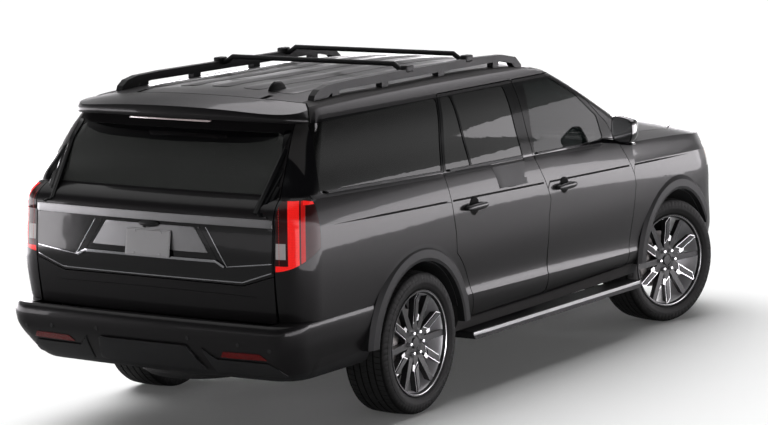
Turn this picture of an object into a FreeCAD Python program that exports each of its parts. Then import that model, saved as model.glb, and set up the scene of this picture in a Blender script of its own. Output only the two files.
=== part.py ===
"""A large long-wheelbase sport utility vehicle, as separate panels, glass, running gear and seats.

Frame: +X forward, +Y to the vehicle's left, +Z up, millimetres. The origin is on the ground under the middle
of the overall length. Lengthwise places of the rear half are given from the rear axle, and those of the
front half from the front axle.
"""
import FreeCAD
import Part
import math
import os

V = FreeCAD.Vector

# Driving dimensions
LENGTH = 5636.0
WHEELBASE = 3343.0
REAR_OVERHANG = 1365.0
TRACK = 1712.0
TYRE_RADIUS = 419.0
TYRE_WIDTH = 285.0
RIM_RADIUS = 312.0
STEER_AT_REST = -17.3          # the front wheels stand turned to the right, as parked
PANEL_GAP = 6.0
SEAT_GAP = 0.3                 # between a fixed piece and what carries it
DOOR_WALL = 110.0
FRAME_WALL = 46.0
SKIN_WALL = 28.0
GLASS_INSET = 4.0
GLASS_THICK = 5.0

REAR_X = -LENGTH / 2
REAR_AXLE = REAR_X + REAR_OVERHANG
FRONT_AXLE = REAR_AXLE + WHEELBASE
FRONT_X = LENGTH / 2
FRONT_OVERHANG = FRONT_X - FRONT_AXLE
HALF_TRACK = TRACK / 2
LEFT, RIGHT = 1, -1

parts = {}


def from_rear(x):
    return REAR_AXLE + x


def box(x0, x1, y0, y1, z0, z1):
    return Part.makeBox(x1 - x0, y1 - y0, z1 - z0, V(x0, y0, z0))


def cylinder_y(radius, x, y0, y1, z):
    return Part.makeCylinder(radius, y1 - y0, V(x, y0, z), V(0, 1, 0))


def rod(start, end, radius):
    start, end = V(*start), V(*end)
    return Part.makeCylinder(radius, (end - start).Length, start, end - start)


def mirrored(shape):
    return shape.mirror(V(0, 0, 0), V(0, 1, 0))


def polygon(points):
    points = [V(*p) for p in points]
    return Part.makePolygon(points + points[:1])


def prism(points, y0, y1):
    """A side-view outline of (x, z) points, extruded across the vehicle."""
    face = Part.Face(polygon([(x, y0, z) for x, z in points]))
    return face.extrude(V(0, y1 - y0, 0))


def rounded_prism(points, radii, y0, y1):
    """A side-view outline whose corners are rounded, each by its own radius."""
    face = Part.Face(rounded_wire([V(x, y0, z) for x, z in points], radii))
    return face.extrude(V(0, y1 - y0, 0))


def rounded_wire(corners, radii):
    edges = []
    count = len(corners)
    starts, ends, arcs = [], [], []
    for i, corner in enumerate(corners):
        before, after = corners[i - 1], corners[(i + 1) % count]
        a, b = (before - corner).normalize(), (after - corner).normalize()
        radius = radii[i] if isinstance(radii, (list, tuple)) else radii
        half = a.getAngle(b) / 2
        if radius < 0.01 or abs(half - math.pi / 2) < 1e-3:
            starts.append(corner)
            ends.append(corner)
            arcs.append(None)
            continue
        reach = radius / math.tan(half)
        middle = corner + (a + b).normalize() * (radius / math.sin(half) - radius)
        starts.append(corner + a * reach)
        ends.append(corner + b * reach)
        arcs.append(Part.Arc(starts[i], middle, ends[i]).toShape())
    for i in range(count):
        if arcs[i]:
            edges.append(arcs[i])
        after = (i + 1) % count
        if (starts[after] - ends[i]).Length > 1e-4:
            edges.append(Part.LineSegment(ends[i], starts[after]).toShape())
    return Part.Wire(edges)


def joined(shapes):
    whole = shapes[0].multiFuse(shapes[1:]) if len(shapes) > 1 else shapes[0]
    try:
        whole = whole.removeSplitter()
    except Part.OCCError:
        pass
    return whole


class Level:
    """One closed outline round the body, seen from above, in a plane that may slope along the body.

    The rear end is a shallow arc, the corners are soft, and each flank is a smooth curve through three widths.
    """

    def __init__(self, z, slope, tail, nose, widths, tail_corner, nose_corner, tail_sag=26.0, nose_sag=60.0):
        self.z, self.slope = z, slope
        self.tail, self.nose = tail, nose
        self.widths = widths
        self.tail_corner, self.nose_corner = tail_corner, nose_corner
        self.tail_sag, self.nose_sag = tail_sag, nose_sag

    def wire(self, side_inset=0.0, tail_inset=0.0, nose_inset=0.0, lift=0.0):
        tail, nose = self.tail + tail_inset, self.nose - nose_inset
        rear, middle, front = (w - side_inset for w in self.widths)
        deep, wide = self.tail_corner
        nose_deep, nose_wide = self.nose_corner
        quarter_x = tail + self.tail_sag + deep
        wing_x = nose - self.nose_sag - nose_deep

        def place(x, y):
            return V(from_rear(x), y, self.z + self.slope * x + lift)

        def curve(points):
            bezier = Part.BezierCurve()
            bezier.setPoles([place(*p) for p in points])
            return bezier.toShape()

        tail_half, nose_half = rear - wide, front - nose_wide
        tail_lean = 2 * self.tail_sag / tail_half
        nose_lean = 2 * self.nose_sag / nose_half
        middle_x = (quarter_x + wing_x) / 2
        reach = (wing_x - quarter_x) / 4
        bulge = (front - rear) / (wing_x - quarter_x)
        soft = 0.6
        edges = []

        def flank(side):
            pole = 2 * middle - (rear + front) / 2
            start_lean = (pole - rear) / (middle_x - quarter_x)
            end_lean = (pole - front) / (wing_x - middle_x)
            return pole, start_lean, end_lean

        pole, start_lean, end_lean = flank(RIGHT)

        def corner_tail(side):
            a = (tail + self.tail_sag, side * tail_half)
            b = (quarter_x, side * rear)
            return [a, (a[0] + soft * wide * tail_lean, a[1] + side * soft * wide),
                    (b[0] - soft * deep, b[1] - side * soft * deep * start_lean), b]

        def corner_nose(side):
            a = (nose - self.nose_sag, side * nose_half)
            b = (wing_x, side * front)
            return [a, (a[0] - soft * nose_wide * nose_lean, a[1] + side * soft * nose_wide),
                    (b[0] + soft * nose_deep, b[1] - side * soft * nose_deep * end_lean), b]

        edges.append(curve([(tail + self.tail_sag, tail_half), (tail - self.tail_sag, 0),
                            (tail + self.tail_sag, -tail_half)]))
        edges.append(curve(corner_tail(RIGHT)))
        edges.append(curve([(quarter_x, -rear), (middle_x, -pole), (wing_x, -front)]))
        edges.append(curve(corner_nose(RIGHT)[::-1]))
        edges.append(curve([(nose - self.nose_sag, -nose_half), (nose + self.nose_sag, 0),
                            (nose - self.nose_sag, nose_half)]))
        edges.append(curve(corner_nose(LEFT)))
        edges.append(curve([(wing_x, front), (middle_x, pole), (quarter_x, rear)]))
        edges.append(curve(corner_tail(LEFT)[::-1]))
        return Part.Wire(edges)


def loft(levels, side=0.0, tail=0.0, nose=0.0):
    return Part.makeLoft([level.wire(side, tail, nose) for level in levels], True, False)



# Outlines of the lower body: height at the rear axle, slope, tail and nose places from the rear axle,
# half-widths at the tail, the middle and the nose, then the depth and width of the corners.
NOSE = WHEELBASE + FRONT_OVERHANG
LOW_TAIL_CORNER = (190, 190)
LOW_NOSE_CORNER = (430, 330)
NOSE_CORNER = (500, 390)
SILL = Level(398, 0, -1200, NOSE - 45, (905, 936, 905), LOW_TAIL_CORNER, LOW_NOSE_CORNER)
ROCKER = Level(470, 0, -1208, NOSE - 20, (938, 966, 935), LOW_TAIL_CORNER, LOW_NOSE_CORNER)
LOWER = Level(560, -0.02, -1216, NOSE - 6, (960, 992, 958), LOW_TAIL_CORNER, LOW_NOSE_CORNER)
CREASE_LOW = Level(633, -0.025, -1222, NOSE, (970, 1000, 968), LOW_TAIL_CORNER, LOW_NOSE_CORNER)
SCOOP = Level(672, -0.025, -1228, NOSE, (976, 990, 974), LOW_TAIL_CORNER, LOW_NOSE_CORNER)
DOOR = Level(800, -0.02, -1245, NOSE, (988, 996, 984), LOW_TAIL_CORNER, (470, 370))
WIDEST = Level(985, -0.018, -1262, NOSE - 6, (998, 1006, 992), (195, 190), NOSE_CORNER)
ABOVE = Level(1110, -0.022, -1258, NOSE - 20, (998, 1005, 988), (195, 190), NOSE_CORNER)
CREASE = Level(1220, -0.0265, -1252, NOSE - 50, (990, 999, 976), (190, 185), NOSE_CORNER)
SHOULDER = Level(1300, -0.026, -1246, NOSE - 78, (968, 984, 948), (180, 175), NOSE_CORNER)
BELT = Level(1372, -0.0245, -1162, NOSE - 115, (938, 962, 912), (170, 160), NOSE_CORNER)
WING = Level(1430, -0.0245, -1120, NOSE - 170, (890, 915, 860), (170, 160), NOSE_CORNER)
WING_TOP = Level(1520, -0.0245, -1050, NOSE - 300, (790, 815, 740), (170, 160), (480, 340))

LOW_LEVELS = [SILL, ROCKER, LOWER, CREASE_LOW]
MID_LEVELS = [CREASE_LOW, SCOOP, DOOR, WIDEST, ABOVE, CREASE]
TOP_LEVELS = [CREASE, SHOULDER, BELT]
NOSE_LEVELS = [CREASE, SHOULDER, BELT, WING, WING_TOP]

# Outlines of the glasshouse, whose nose is the windscreen
SCREEN_SAG = 170.0
SCREEN_CORNER = (190, 150)
HOUSE_LEVELS = [
    Level(1372, -0.0245, -1162, 3222, (934, 958, 926), (170, 160), SCREEN_CORNER, 26, SCREEN_SAG),
    Level(1480, -0.018, -1103, 2957, (900, 926, 903), (170, 165), SCREEN_CORNER, 26, SCREEN_SAG),
    Level(1600, -0.010, -1033, 2668, (866, 889, 878), (175, 170), SCREEN_CORNER, 26, SCREEN_SAG),
    Level(1720, -0.004, -962, 2389, (828, 847, 843), (180, 180), SCREEN_CORNER, 26, SCREEN_SAG),
    Level(1790, 0, -921, 2227, (798, 814, 808), (190, 200), SCREEN_CORNER, 26, SCREEN_SAG),
    Level(1840, 0, -890, 2120, (768, 783, 775), (190, 200), SCREEN_CORNER, 26, SCREEN_SAG),
    Level(1875, 0, -868, 2040, (715, 730, 720), (190, 200), SCREEN_CORNER, 26, SCREEN_SAG),
    Level(1895, 0, -858, 1990, (645, 660, 650), (190, 200), SCREEN_CORNER, 26, SCREEN_SAG),
    Level(1950, 0, -850, 1940, (560, 575, 565), (190, 200), SCREEN_CORNER, 26, SCREEN_SAG),
]
# Crown of the roof: place from the rear axle and height on the centre line
ROOF_LINE = [(-1300, 1806), (-1100, 1850), (-790, 1903), (0, 1926), (800, 1932), (1500, 1918), (1900, 1880),
             (2300, 1805), (2700, 1700), (3350, 1530)]
ROOF_FALL = 79.0               # from the centre line to y = 900
# Crown of the bonnet: place, height on the centre line, height at y = 900
HOOD_LINE = [(2500, 1392, 1284), (2850, 1400, 1288), (3300, 1378, 1268), (3700, 1340, 1240), (4000, 1295, 1200),
             (4150, 1262, 1172), (4300, 1215, 1130)]
CROWN_HALF = 900.0
BLOCK_HALF = 1150.0
CROWN_BASE = 1150.0
DASH_X = 2744.0                # where the front doors end and the front wings begin


def crowned_block(line, base, drop=0.0):
    """A long block whose top is crowned across and follows the line of (x, centre height, edge height)."""
    sections = []
    widen = (BLOCK_HALF / CROWN_HALF) ** 2
    for x, centre, edge in line:
        x, centre, edge = from_rear(x), centre - drop, centre - drop - (centre - edge) * widen
        top = Part.BezierCurve()
        top.setPoles([V(x, -BLOCK_HALF, edge), V(x, 0, 2 * centre - edge), V(x, BLOCK_HALF, edge)])
        walls = Part.makePolygon([V(x, BLOCK_HALF, edge), V(x, BLOCK_HALF, base), V(x, -BLOCK_HALF, base),
                                  V(x, -BLOCK_HALF, edge)])
        sections.append(Part.Wire([top.toShape()] + walls.Edges))
    return Part.makeLoft(sections, True, False)


def roof_block(drop=0.0):
    return crowned_block([(x, z, z - ROOF_FALL) for x, z in ROOF_LINE], CROWN_BASE, drop)


def lower_hull(inset=0.0):
    return joined([loft(levels, inset, inset, inset) for levels in (LOW_LEVELS, MID_LEVELS, TOP_LEVELS)])


def house_hull(inset=0.0, drop=0.0):
    return loft(HOUSE_LEVELS, inset, inset, 2 * inset).common(roof_block(drop))


def nose_hull(inset=0.0, drop=0.0):
    whole = joined([loft(levels, inset, inset, inset) for levels in (LOW_LEVELS, MID_LEVELS, NOSE_LEVELS)])
    front = box(from_rear(DASH_X), FRONT_X + 100, -1100, 1100, 300, 1600)
    return whole.common(front).common(crowned_block(HOOD_LINE, 300, drop))


def skin_y(z):
    """Half-width of the flank, near enough to set the depth of shut faces."""
    steps = [(0, 1003), (1150, 1003), (1220, 998), (1340, 962), (1600, 889), (1720, 848), (1790, 814), (2100, 700)]
    for (z0, y0), (z1, y1) in zip(steps, steps[1:]):
        if z <= z1:
            return y0 + (y1 - y0) * (z - z0) / (z1 - z0)
    return steps[-1][1]


def grown(points, by):
    """A polygon of 2-D points with each side moved outwards by a distance, keeping the corners' order."""
    area = sum(a[0] * b[1] - b[0] * a[1] for a, b in zip(points, points[1:] + points[:1]))
    sign = 1 if area > 0 else -1
    lines = []
    for a, b in zip(points, points[1:] + points[:1]):
        length = math.hypot(b[0] - a[0], b[1] - a[1])
        normal = (sign * (b[1] - a[1]) / length, -sign * (b[0] - a[0]) / length)
        lines.append((normal, normal[0] * a[0] + normal[1] * a[1] + by))
    corners = []
    for i in range(len(points)):
        (n1, c1), (n2, c2) = lines[i - 1], lines[i]
        det = n1[0] * n2[1] - n1[1] * n2[0]
        if abs(det) < 1e-6:
            corners.append((points[i][0] + n2[0] * by, points[i][1] + n2[1] * by))
        else:
            corners.append(((c1 * n2[1] - c2 * n1[1]) / det, (n1[0] * c2 - n2[0] * c1) / det))
    return corners


OUTER_PLANE, INNER_PLANE = 1100.0, 560.0


def side_region(outline, by=0.0):
    """What lies behind a side-view outline on the right flank.

    Each corner is (place from the rear axle, height, radius, set-back): the set-back moves the corner forwards
    for each millimetre of depth behind the skin, so that a door clears its pillar as it swings.
    """
    corners = grown([(x, z) for x, z, _, _ in outline], by)
    wires = []
    for plane in (OUTER_PLANE, INNER_PLANE):
        placed = [V(from_rear(x + back * (skin_y(z) - plane)), -plane, z)
                  for (x, z), (_, _, _, back) in zip(corners, outline)]
        wires.append(rounded_wire(placed, [max(radius + by, 0) if radius else 0 for _, _, radius, _ in outline]))
    return Part.makeLoft(wires, True, True)


def side_prism(points, radii, by=0.0, y0=-OUTER_PLANE, y1=-300.0):
    corners = [(from_rear(x), z) for x, z in grown(points, by)]
    return rounded_prism(corners, radii, y0, y1)


# Shut lines of the doors, seen from the right
ARCH_RADIUS = 480.0
DOOR_ARCH = 624.0
BACK = 0.3
DOOR_TOP, DOOR_FOOT = 1808.0, 478.0
B_POST = [(1418, DOOR_TOP, 16), (1420, 1650, 0), (1426, 1325, 90), (1502, 1180, 0), (1563, 1063, 50),
          (1536, 943, 60), (1531, 586, 60), (1529, DOOR_FOOT, 25)]
REAR_DOOR = ([(519, DOOR_TOP, 20, BACK), (333, 1355, 60, BACK), (398, 1008, 80, BACK), (412, 870, 80, BACK),
              (420, DOOR_FOOT, 0, BACK)] + [(x, z, r, 0) for x, z, r in B_POST[::-1]])
FRONT_DOOR = ([(x, z, r, BACK) for x, z, r in B_POST] +
              [(2640, DOOR_FOOT, 30, 0), (2738, 1010, 60, 0), (2722, 1077, 60, 0), (2598, 1271, 40, 0),
               (2491, 1439, 40, 0), (2136, 1706, 60, 0), (1925, DOOR_TOP, 60, 0)])


def rear_door_region(by):
    inner, outer = DOOR_ARCH - by, DOOR_ARCH - by + BACK * (skin_y(0) - INNER_PLANE)
    depth = skin_y(0) - INNER_PLANE
    swept = Part.makeCone(inner, outer, depth, V(REAR_AXLE, -skin_y(0), TYRE_RADIUS), V(0, 1, 0))
    outside = Part.makeCylinder(inner, 200, V(REAR_AXLE, -skin_y(0) - 200, TYRE_RADIUS), V(0, 1, 0))
    return side_region(REAR_DOOR, by).cut(swept).cut(outside)


def front_door_region(by):
    return side_region(FRONT_DOOR, by)


# Window openings, seen from the right
WINDOW_RADIUS = 22.0
REAR_LIGHT = [(676, 1786), (1292, 1784), (1298, 1345), (676, 1362)]
REAR_PANE = [(543, 1786), (656, 1786), (656, 1363), (366, 1370)]
FRONT_LIGHT = [(1541, 1776), (1890, 1776), (2132, 1658), (2380, 1491), (2395, 1340), (1450, 1348)]
FRONT_LIGHT_RADII = [22, 60, 60, 40, 22, 22]
QUARTER_LIGHT = [(-822, 1774), (498, 1788), (320, 1375), (-946, 1406)]

# The tail: edges of the gates seen from behind, with the place of the skin there
GATE_EDGE = [(815, 712, -1240), (815, 1300, -1235), (803, 1395, -1165), (733, 1795, -918)]
GATE_DRAFT = 0.2
GATE_HINGE_X, GATE_HINGE_Z = -675.0, 1870.0
HINGE_ARM_Y, HINGE_ARM_WIDE, HINGE_PIN = 430.0, 24.0, 7.0
DROP_HINGE_X, DROP_HINGE_Z, DROP_PIN = -1185.0, 800.0, 9.0
DROP_REACH, DROP_HALF = 150.0, 817.5      # the body sides leave this much free for the lower gate's foot
SPLIT_Y, SPLIT_Z, SPLIT_RISE, SPLIT_DRAFT, SPLIT_X = 614.0, 928.0, 0.333, 0.3, -1275.0
RELIEF_X, RELIEF_DRAFT = -1215.0, 1.0     # from here on the lower gate's top falls away to swing clear
SEAM_CENTRE, SEAM_CORNER, SEAM_HALF = -790.0, -686.0, 683.0
WING_TIP_X, WING_TIP_Y = -838.0, 806.0
WING_FLOOR = 1776.0
SEAM_HEIGHT, SEAM_DRAFT, CEILING = 1910.0, 0.14, 2200.0


def gate_region(by):
    wires = []
    for x in (-1600.0, -600.0):
        right = grown([(y - GATE_DRAFT * (x - skin), z) for y, z, skin in GATE_EDGE] +
                      [(0, GATE_EDGE[-1][1]), (0, GATE_EDGE[0][1])], by)[:4]
        loop = [(-y, z) for y, z in right] + [(y, z) for y, z in right[::-1]]
        wires.append(polygon([(from_rear(x), y, z) for y, z in loop]))
    return Part.makeLoft(wires, True, True)


def below_split(by, turn_x=SPLIT_X, draft=SPLIT_DRAFT):
    """All that is under the line where the lower gate meets the upper one, with the slope turned at a place."""
    wires = []
    for x in (-1600.0, -600.0):
        lift = by - SPLIT_DRAFT * (turn_x - SPLIT_X) - draft * (x - turn_x)
        rise = SPLIT_RISE * (CROWN_HALF - SPLIT_Y)
        loop = [(-CROWN_HALF, 300), (-CROWN_HALF, SPLIT_Z + rise + lift), (-SPLIT_Y, SPLIT_Z + lift),
                (SPLIT_Y, SPLIT_Z + lift), (CROWN_HALF, SPLIT_Z + rise + lift), (CROWN_HALF, 300)]
        wires.append(polygon([(from_rear(x), y, z) for y, z in loop]))
    return Part.makeLoft(wires, True, True)


def behind_seam(by, floor, draft=0.0):
    """All that is behind the seam across the roof, above a floor; the draft sets its lower edge back."""
    wires = []
    for z in (floor, CEILING):
        back = by - draft * (SEAM_HEIGHT - z)
        corner, tip, centre = SEAM_CORNER + back, WING_TIP_X + back, SEAM_CENTRE + back
        half, tip_y = SEAM_HALF + by / 2, WING_TIP_Y + by / 2
        arc = Part.Arc(V(from_rear(corner), -half, z), V(from_rear(centre), 0, z),
                       V(from_rear(corner), half, z)).toShape()
        rest = Part.makePolygon([V(from_rear(x), y, z) for x, y in (
            (corner, half), (tip, tip_y), (tip, 1000), (-1500, 1000), (-1500, -1000), (tip, -1000),
            (tip, -tip_y), (corner, -half))])
        wires.append(Part.Wire([arc] + rest.Edges))
    return Part.makeLoft(wires, True, True)


SPOILER_LEVELS = [
    Level(1776, 0, -1020, 900, (806, 812, 812), (230, 260), (100, 100), 40),
    Level(1800, 0, -1052, 900, (800, 806, 806), (230, 260), (100, 100), 40),
    Level(1838, 0, -1054, 900, (770, 778, 778), (230, 260), (100, 100), 40),
    Level(1875, 0, -1046, 900, (715, 725, 725), (230, 250), (100, 100), 40),
    Level(1895, 0, -1036, 900, (645, 655, 655), (230, 240), (100, 100), 40),
]

LAMP_SIDE = [(-1500, 985), (-1244, 1001), (-1159, 1062), (-1045, 1130), (-1035, 1380), (-1080, 1388),
             (-1500, 1388)]
LAMP_INNER, LAMP_DEPTH = 824.0, 60.0
BUMPER_SIDE = [(-1500, 250), (-1500, 985), (-1244, 1001), (-1159, 1062), (-820, 834), (-560, 800), (-250, 790),
               (-250, 250)]
LEDGE = 721.0
GATE_WELL = 680.0             # the lower gate's foot swings down to here behind the ledge
BUMPER_LEVELS = [
    Level(385, 0, -1185, 900, (885, 900, 900), (170, 150), (100, 100)),
    Level(450, 0, -1258, 900, (925, 940, 940), (170, 150), (100, 100)),
    Level(536, 0, -1325, 900, (955, 970, 970), (170, 150), (100, 100)),
    Level(600, 0, -1358, 900, (975, 985, 985), (170, 150), (100, 100)),
    Level(660, 0, -1365, 900, (983, 990, 990), (170, 150), (100, 100)),
    Level(700, 0, -1357, 900, (985, 990, 990), (170, 150), (100, 100)),
    Level(LEDGE, 0, -1338, 900, (980, 986, 986), (170, 150), (100, 100)),
]


def half(shape, side=RIGHT):
    y0, y1 = (-1200, 0) if side == RIGHT else (0, 1200)
    return shape.common(box(-3200, 3200, y0, y1, 0, 2300))


def pair(name, shape):
    parts[name + "_right"] = shape
    parts[name + "_left"] = mirrored(shape)


def arch_tool(axle_x, radius, y0=-OUTER_PLANE, y1=-560.0):
    return cylinder_y(radius, axle_x, y0, y1, TYRE_RADIUS)


HALF_GAP = PANEL_GAP / 2
ROOF_EDGE = 655.0
FENDER_TAIL_TOP = 1290.0       # the wing runs back to the front door under this height
POST_DEEP, SEAL_GAP = 60.0, 5.6   # the inner posts, and their seals' gap to the doors
SCREEN_TOP = [(1975, 615), (2094, 0)]
SCREEN_BASE = [(3050, 742), (3056, 0)]


def screen_region(by):
    """The windscreen's outline seen from above, extruded upwards."""
    (top_side, top_y), (top_mid, _) = SCREEN_TOP
    (base_side, base_y), (base_mid, _) = SCREEN_BASE
    z = 1250.0
    top = Part.Arc(V(from_rear(top_side - by), top_y + by, z), V(from_rear(top_mid - by), 0, z),
                   V(from_rear(top_side - by), -top_y - by, z)).toShape()
    base = Part.Arc(V(from_rear(base_side + by), -base_y - by, z), V(from_rear(base_mid + by), 0, z),
                    V(from_rear(base_side + by), base_y + by, z)).toShape()
    right = Part.LineSegment(V(from_rear(top_side - by), -top_y - by, z),
                             V(from_rear(base_side + by), -base_y - by, z)).toShape()
    left = Part.LineSegment(V(from_rear(base_side + by), base_y + by, z),
                            V(from_rear(top_side - by), top_y + by, z)).toShape()
    return Part.Face(Part.Wire([top, right, base, left])).extrude(V(0, 0, 800))


def roof_region(by):
    """The roof panel between its ditches, from the gate seam to the top of the windscreen."""
    strip = box(from_rear(-900), from_rear(2300), -ROOF_EDGE - by, ROOF_EDGE + by, 1700, 2100)
    return strip.cut(behind_seam(HALF_GAP, 1650)).cut(prism_ahead(by))


def prism_ahead(by):
    """All that is ahead of the roof's front edge, which bows with the windscreen."""
    (side_x, side_y), (mid_x, _) = SCREEN_TOP
    side_x, mid_x = side_x - HEADER_BAND + by, mid_x - HEADER_BAND + by
    z = 1650.0
    arc = Part.Arc(V(from_rear(side_x), side_y, z), V(from_rear(mid_x), 0, z), V(from_rear(side_x), -side_y, z))
    rest = Part.makePolygon([V(from_rear(x), y, z) for x, y in (
        (side_x, -side_y), (side_x - 30, -900), (2600, -900), (2600, 900), (side_x - 30, 900), (side_x, side_y))])
    return Part.Face(Part.Wire([arc.toShape()] + rest.Edges)).extrude(V(0, 0, 600))


HEADER_BAND = 40.0


def front_region(by=0.0):
    return box(from_rear(DASH_X) - by, FRONT_X + 200, -1200, 1200, 200, 2200)


print("hulls")
low = {inset: lower_hull(inset) for inset in (0.0, SKIN_WALL + 1, LAMP_DEPTH + 1, DOOR_WALL)}
house = {"outer": house_hull(), "inner": house_hull(FRAME_WALL, FRAME_WALL)}
glass_layer = house_hull(GLASS_INSET, GLASS_INSET).cut(house_hull(GLASS_INSET + GLASS_THICK,
                                                                 GLASS_INSET + GLASS_THICK))
low_shell = low[0.0].cut(low[DOOR_WALL])
house_shell = house["outer"].cut(house["inner"]).common(
    prism([(from_rear(x), z) for x, z in ((-1500, 2100), (3400, 2100), (3400, 1372 - 0.0245 * 3400),
                                         (-1500, 1372 + 0.0245 * 1500))], -1100, 1100))
nose_outer = nose_hull()
above_cowl = house_shell.cut(nose_outer)
low_side = half(low_shell).cut(front_region())
house_side = half(above_cowl)


def door(region, lights, light_radii):
    panel = joined([low_side.common(region), house_side.common(region)])
    for points, radii in zip(lights, light_radii):
        panel = panel.cut(side_prism(points, radii))
    return panel.cut(roof_region(HALF_GAP))


def side_glass(points, radii):
    return half(glass_layer).common(side_prism(points, radii, -SEAT_GAP))


print("doors")
pair("rear_door", door(rear_door_region(-HALF_GAP), [REAR_LIGHT, REAR_PANE], [WINDOW_RADIUS] * 2))
pair("front_door", door(front_door_region(-HALF_GAP), [FRONT_LIGHT], [FRONT_LIGHT_RADII]))
pair("rear_door_glass", Part.makeCompound([side_glass(REAR_LIGHT, WINDOW_RADIUS),
                                           side_glass(REAR_PANE, WINDOW_RADIUS)]))
pair("front_door_glass", side_glass(FRONT_LIGHT, FRONT_LIGHT_RADII))
quarter_glass = side_glass(QUARTER_LIGHT, WINDOW_RADIUS)
parts["quarter_glass"] = Part.makeCompound([quarter_glass, mirrored(quarter_glass)])

print("tail")
seam_part = behind_seam(-HALF_GAP, WING_FLOOR + HALF_GAP, SEAM_DRAFT)
spoiler = loft(SPOILER_LEVELS).common(roof_block()).cut(house["inner"]).common(seam_part)
wedge = prism([(from_rear(x), z) for x, z in ((-900, 1700), (-900, 1776), (-1060, 1797), (-1200, 1797),
                                              (-1200, 1700))], -900, 900)
spoiler = spoiler.cut(wedge)
below_seam = box(-3200, from_rear(-820), -1000, 1000, 600, WING_FLOOR + HALF_GAP + 2)
gate_body = joined([low_shell, above_cowl]).common(gate_region(-HALF_GAP)).common(below_seam)
upper_gate = gate_body.cut(below_split(HALF_GAP))
REAR_LIGHT_BACK = [(775, 1412), (690, 1728)]


def back_light(by):
    (base_y, base_z), (top_y, top_z) = REAR_LIGHT_BACK
    corners = grown([(-base_y, base_z), (base_y, base_z), (top_y, top_z), (-top_y, top_z)], by)
    wire = rounded_wire([V(from_rear(-1400), y, z) for y, z in corners], 45)
    return Part.Face(wire).extrude(V(700, 0, 0))


header = house_shell.common(seam_part).common(box(-3200, 0, -ROOF_EDGE, ROOF_EDGE, WING_FLOOR, 2000))
arms, arm_slots, arm_pins = [], [], []
for side in (LEFT, RIGHT):
    near, far = sorted((side * HINGE_ARM_Y - HINGE_ARM_WIDE / 2, side * HINGE_ARM_Y + HINGE_ARM_WIDE / 2))
    x, z, round_end = from_rear(GATE_HINGE_X), GATE_HINGE_Z, 2 * HINGE_PIN
    arm = box(from_rear(-800), x, near, far, z - round_end, z + round_end).fuse(
        cylinder_y(round_end, x, near, far, z))
    arms.append(arm.cut(cylinder_y(HINGE_PIN + SEAT_GAP, x, near - 1, far + 1, z)))
    arm_slots.append(box(from_rear(-800), x + round_end + 6, near - 5, far + 5, 1700, 2000))
    arm_pins.append(cylinder_y(HINGE_PIN, x, near - 7, far + 7, z))
parts["liftgate"] = joined([upper_gate.cut(back_light(0)), spoiler, header] + arms)
parts["rear_glass"] = glass_layer.common(back_light(-SEAT_GAP)).common(box(-3200, from_rear(-600), -900, 900,
                                                                           1200, 2000))
drop_gate = gate_body.common(below_split(-HALF_GAP)).common(below_split(-HALF_GAP, RELIEF_X, RELIEF_DRAFT))
drop_pin_reach = GATE_EDGE[0][0] - GATE_DRAFT * (DROP_HINGE_X - GATE_EDGE[0][2])
for side in (LEFT, RIGHT):
    y0, y1 = sorted((side * (drop_pin_reach - 24), side * (drop_pin_reach + 20)))
    drop_gate = drop_gate.cut(cylinder_y(DROP_PIN + SEAT_GAP, from_rear(DROP_HINGE_X), y0, y1, DROP_HINGE_Z))
parts["drop_gate"] = drop_gate

lamp_box = side_prism(LAMP_SIDE, 0, 0, -1100, -LAMP_INNER)
lamp = low[0.0].cut(low[LAMP_DEPTH + 1]).common(side_prism(LAMP_SIDE, 0, -1, -1100, -LAMP_INNER))
parts["tail_lamps"] = Part.makeCompound([lamp, mirrored(lamp)])
gate_opening = gate_region(HALF_GAP)

print("rear bumper")
bumper_zone = prism([(from_rear(x), z) for x, z in grown(BUMPER_SIDE, -1)], -1100, 1100)
bumper_outer = joined([low[0.0].common(bumper_zone), loft(BUMPER_LEVELS).common(bumper_zone)])
bumper_core = loft(BUMPER_LEVELS, SKIN_WALL, SKIN_WALL, SKIN_WALL).common(
    box(-3200, 0, -1100, 1100, 300, LEDGE - SKIN_WALL))
bumper = bumper_outer.cut(bumper_core).cut(low[SKIN_WALL + 1])
bumper = bumper.cut(arch_tool(REAR_AXLE, ARCH_RADIUS)).cut(mirrored(arch_tool(REAR_AXLE, ARCH_RADIUS)))
slot = box(-3200, 0, -LAMP_INNER + 3, LAMP_INNER - 3, GATE_WELL, 1400).cut(
    loft(BUMPER_LEVELS).common(box(-3200, from_rear(-1292), -1100, 1100, 300, 800)))
pin_seat = cylinder_y(DROP_PIN + SEAT_GAP, from_rear(DROP_HINGE_X), -DROP_HALF - 2 * DROP_PIN - SEAT_GAP, -DROP_HALF,
                      DROP_HINGE_Z)
bumper = bumper.cut(slot).cut(pin_seat).cut(mirrored(pin_seat))

print("body sides")
flare_profile = [(ARCH_RADIUS, 940), (ARCH_RADIUS, 1010), (498, 1014), (545, 1011), (574, 992), (574, 940)]


def flare(axle_x):
    face = Part.Face(polygon([(axle_x, -y, TYRE_RADIUS + r) for r, y in flare_profile]))
    ring = face.revolve(V(axle_x, 0, TYRE_RADIUS), V(0, 1, 0), 360)
    return ring.common(box(-3200, 3200, -1100, -900, 470, 1200))


rear_flare = flare(REAR_AXLE)
zone_right = half(bumper_zone)
bumper_flare = rear_flare.common(zone_right).cut(low[SKIN_WALL + 1])
parts["rear_bumper"] = joined([bumper, bumper_flare, mirrored(bumper_flare)])

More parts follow.
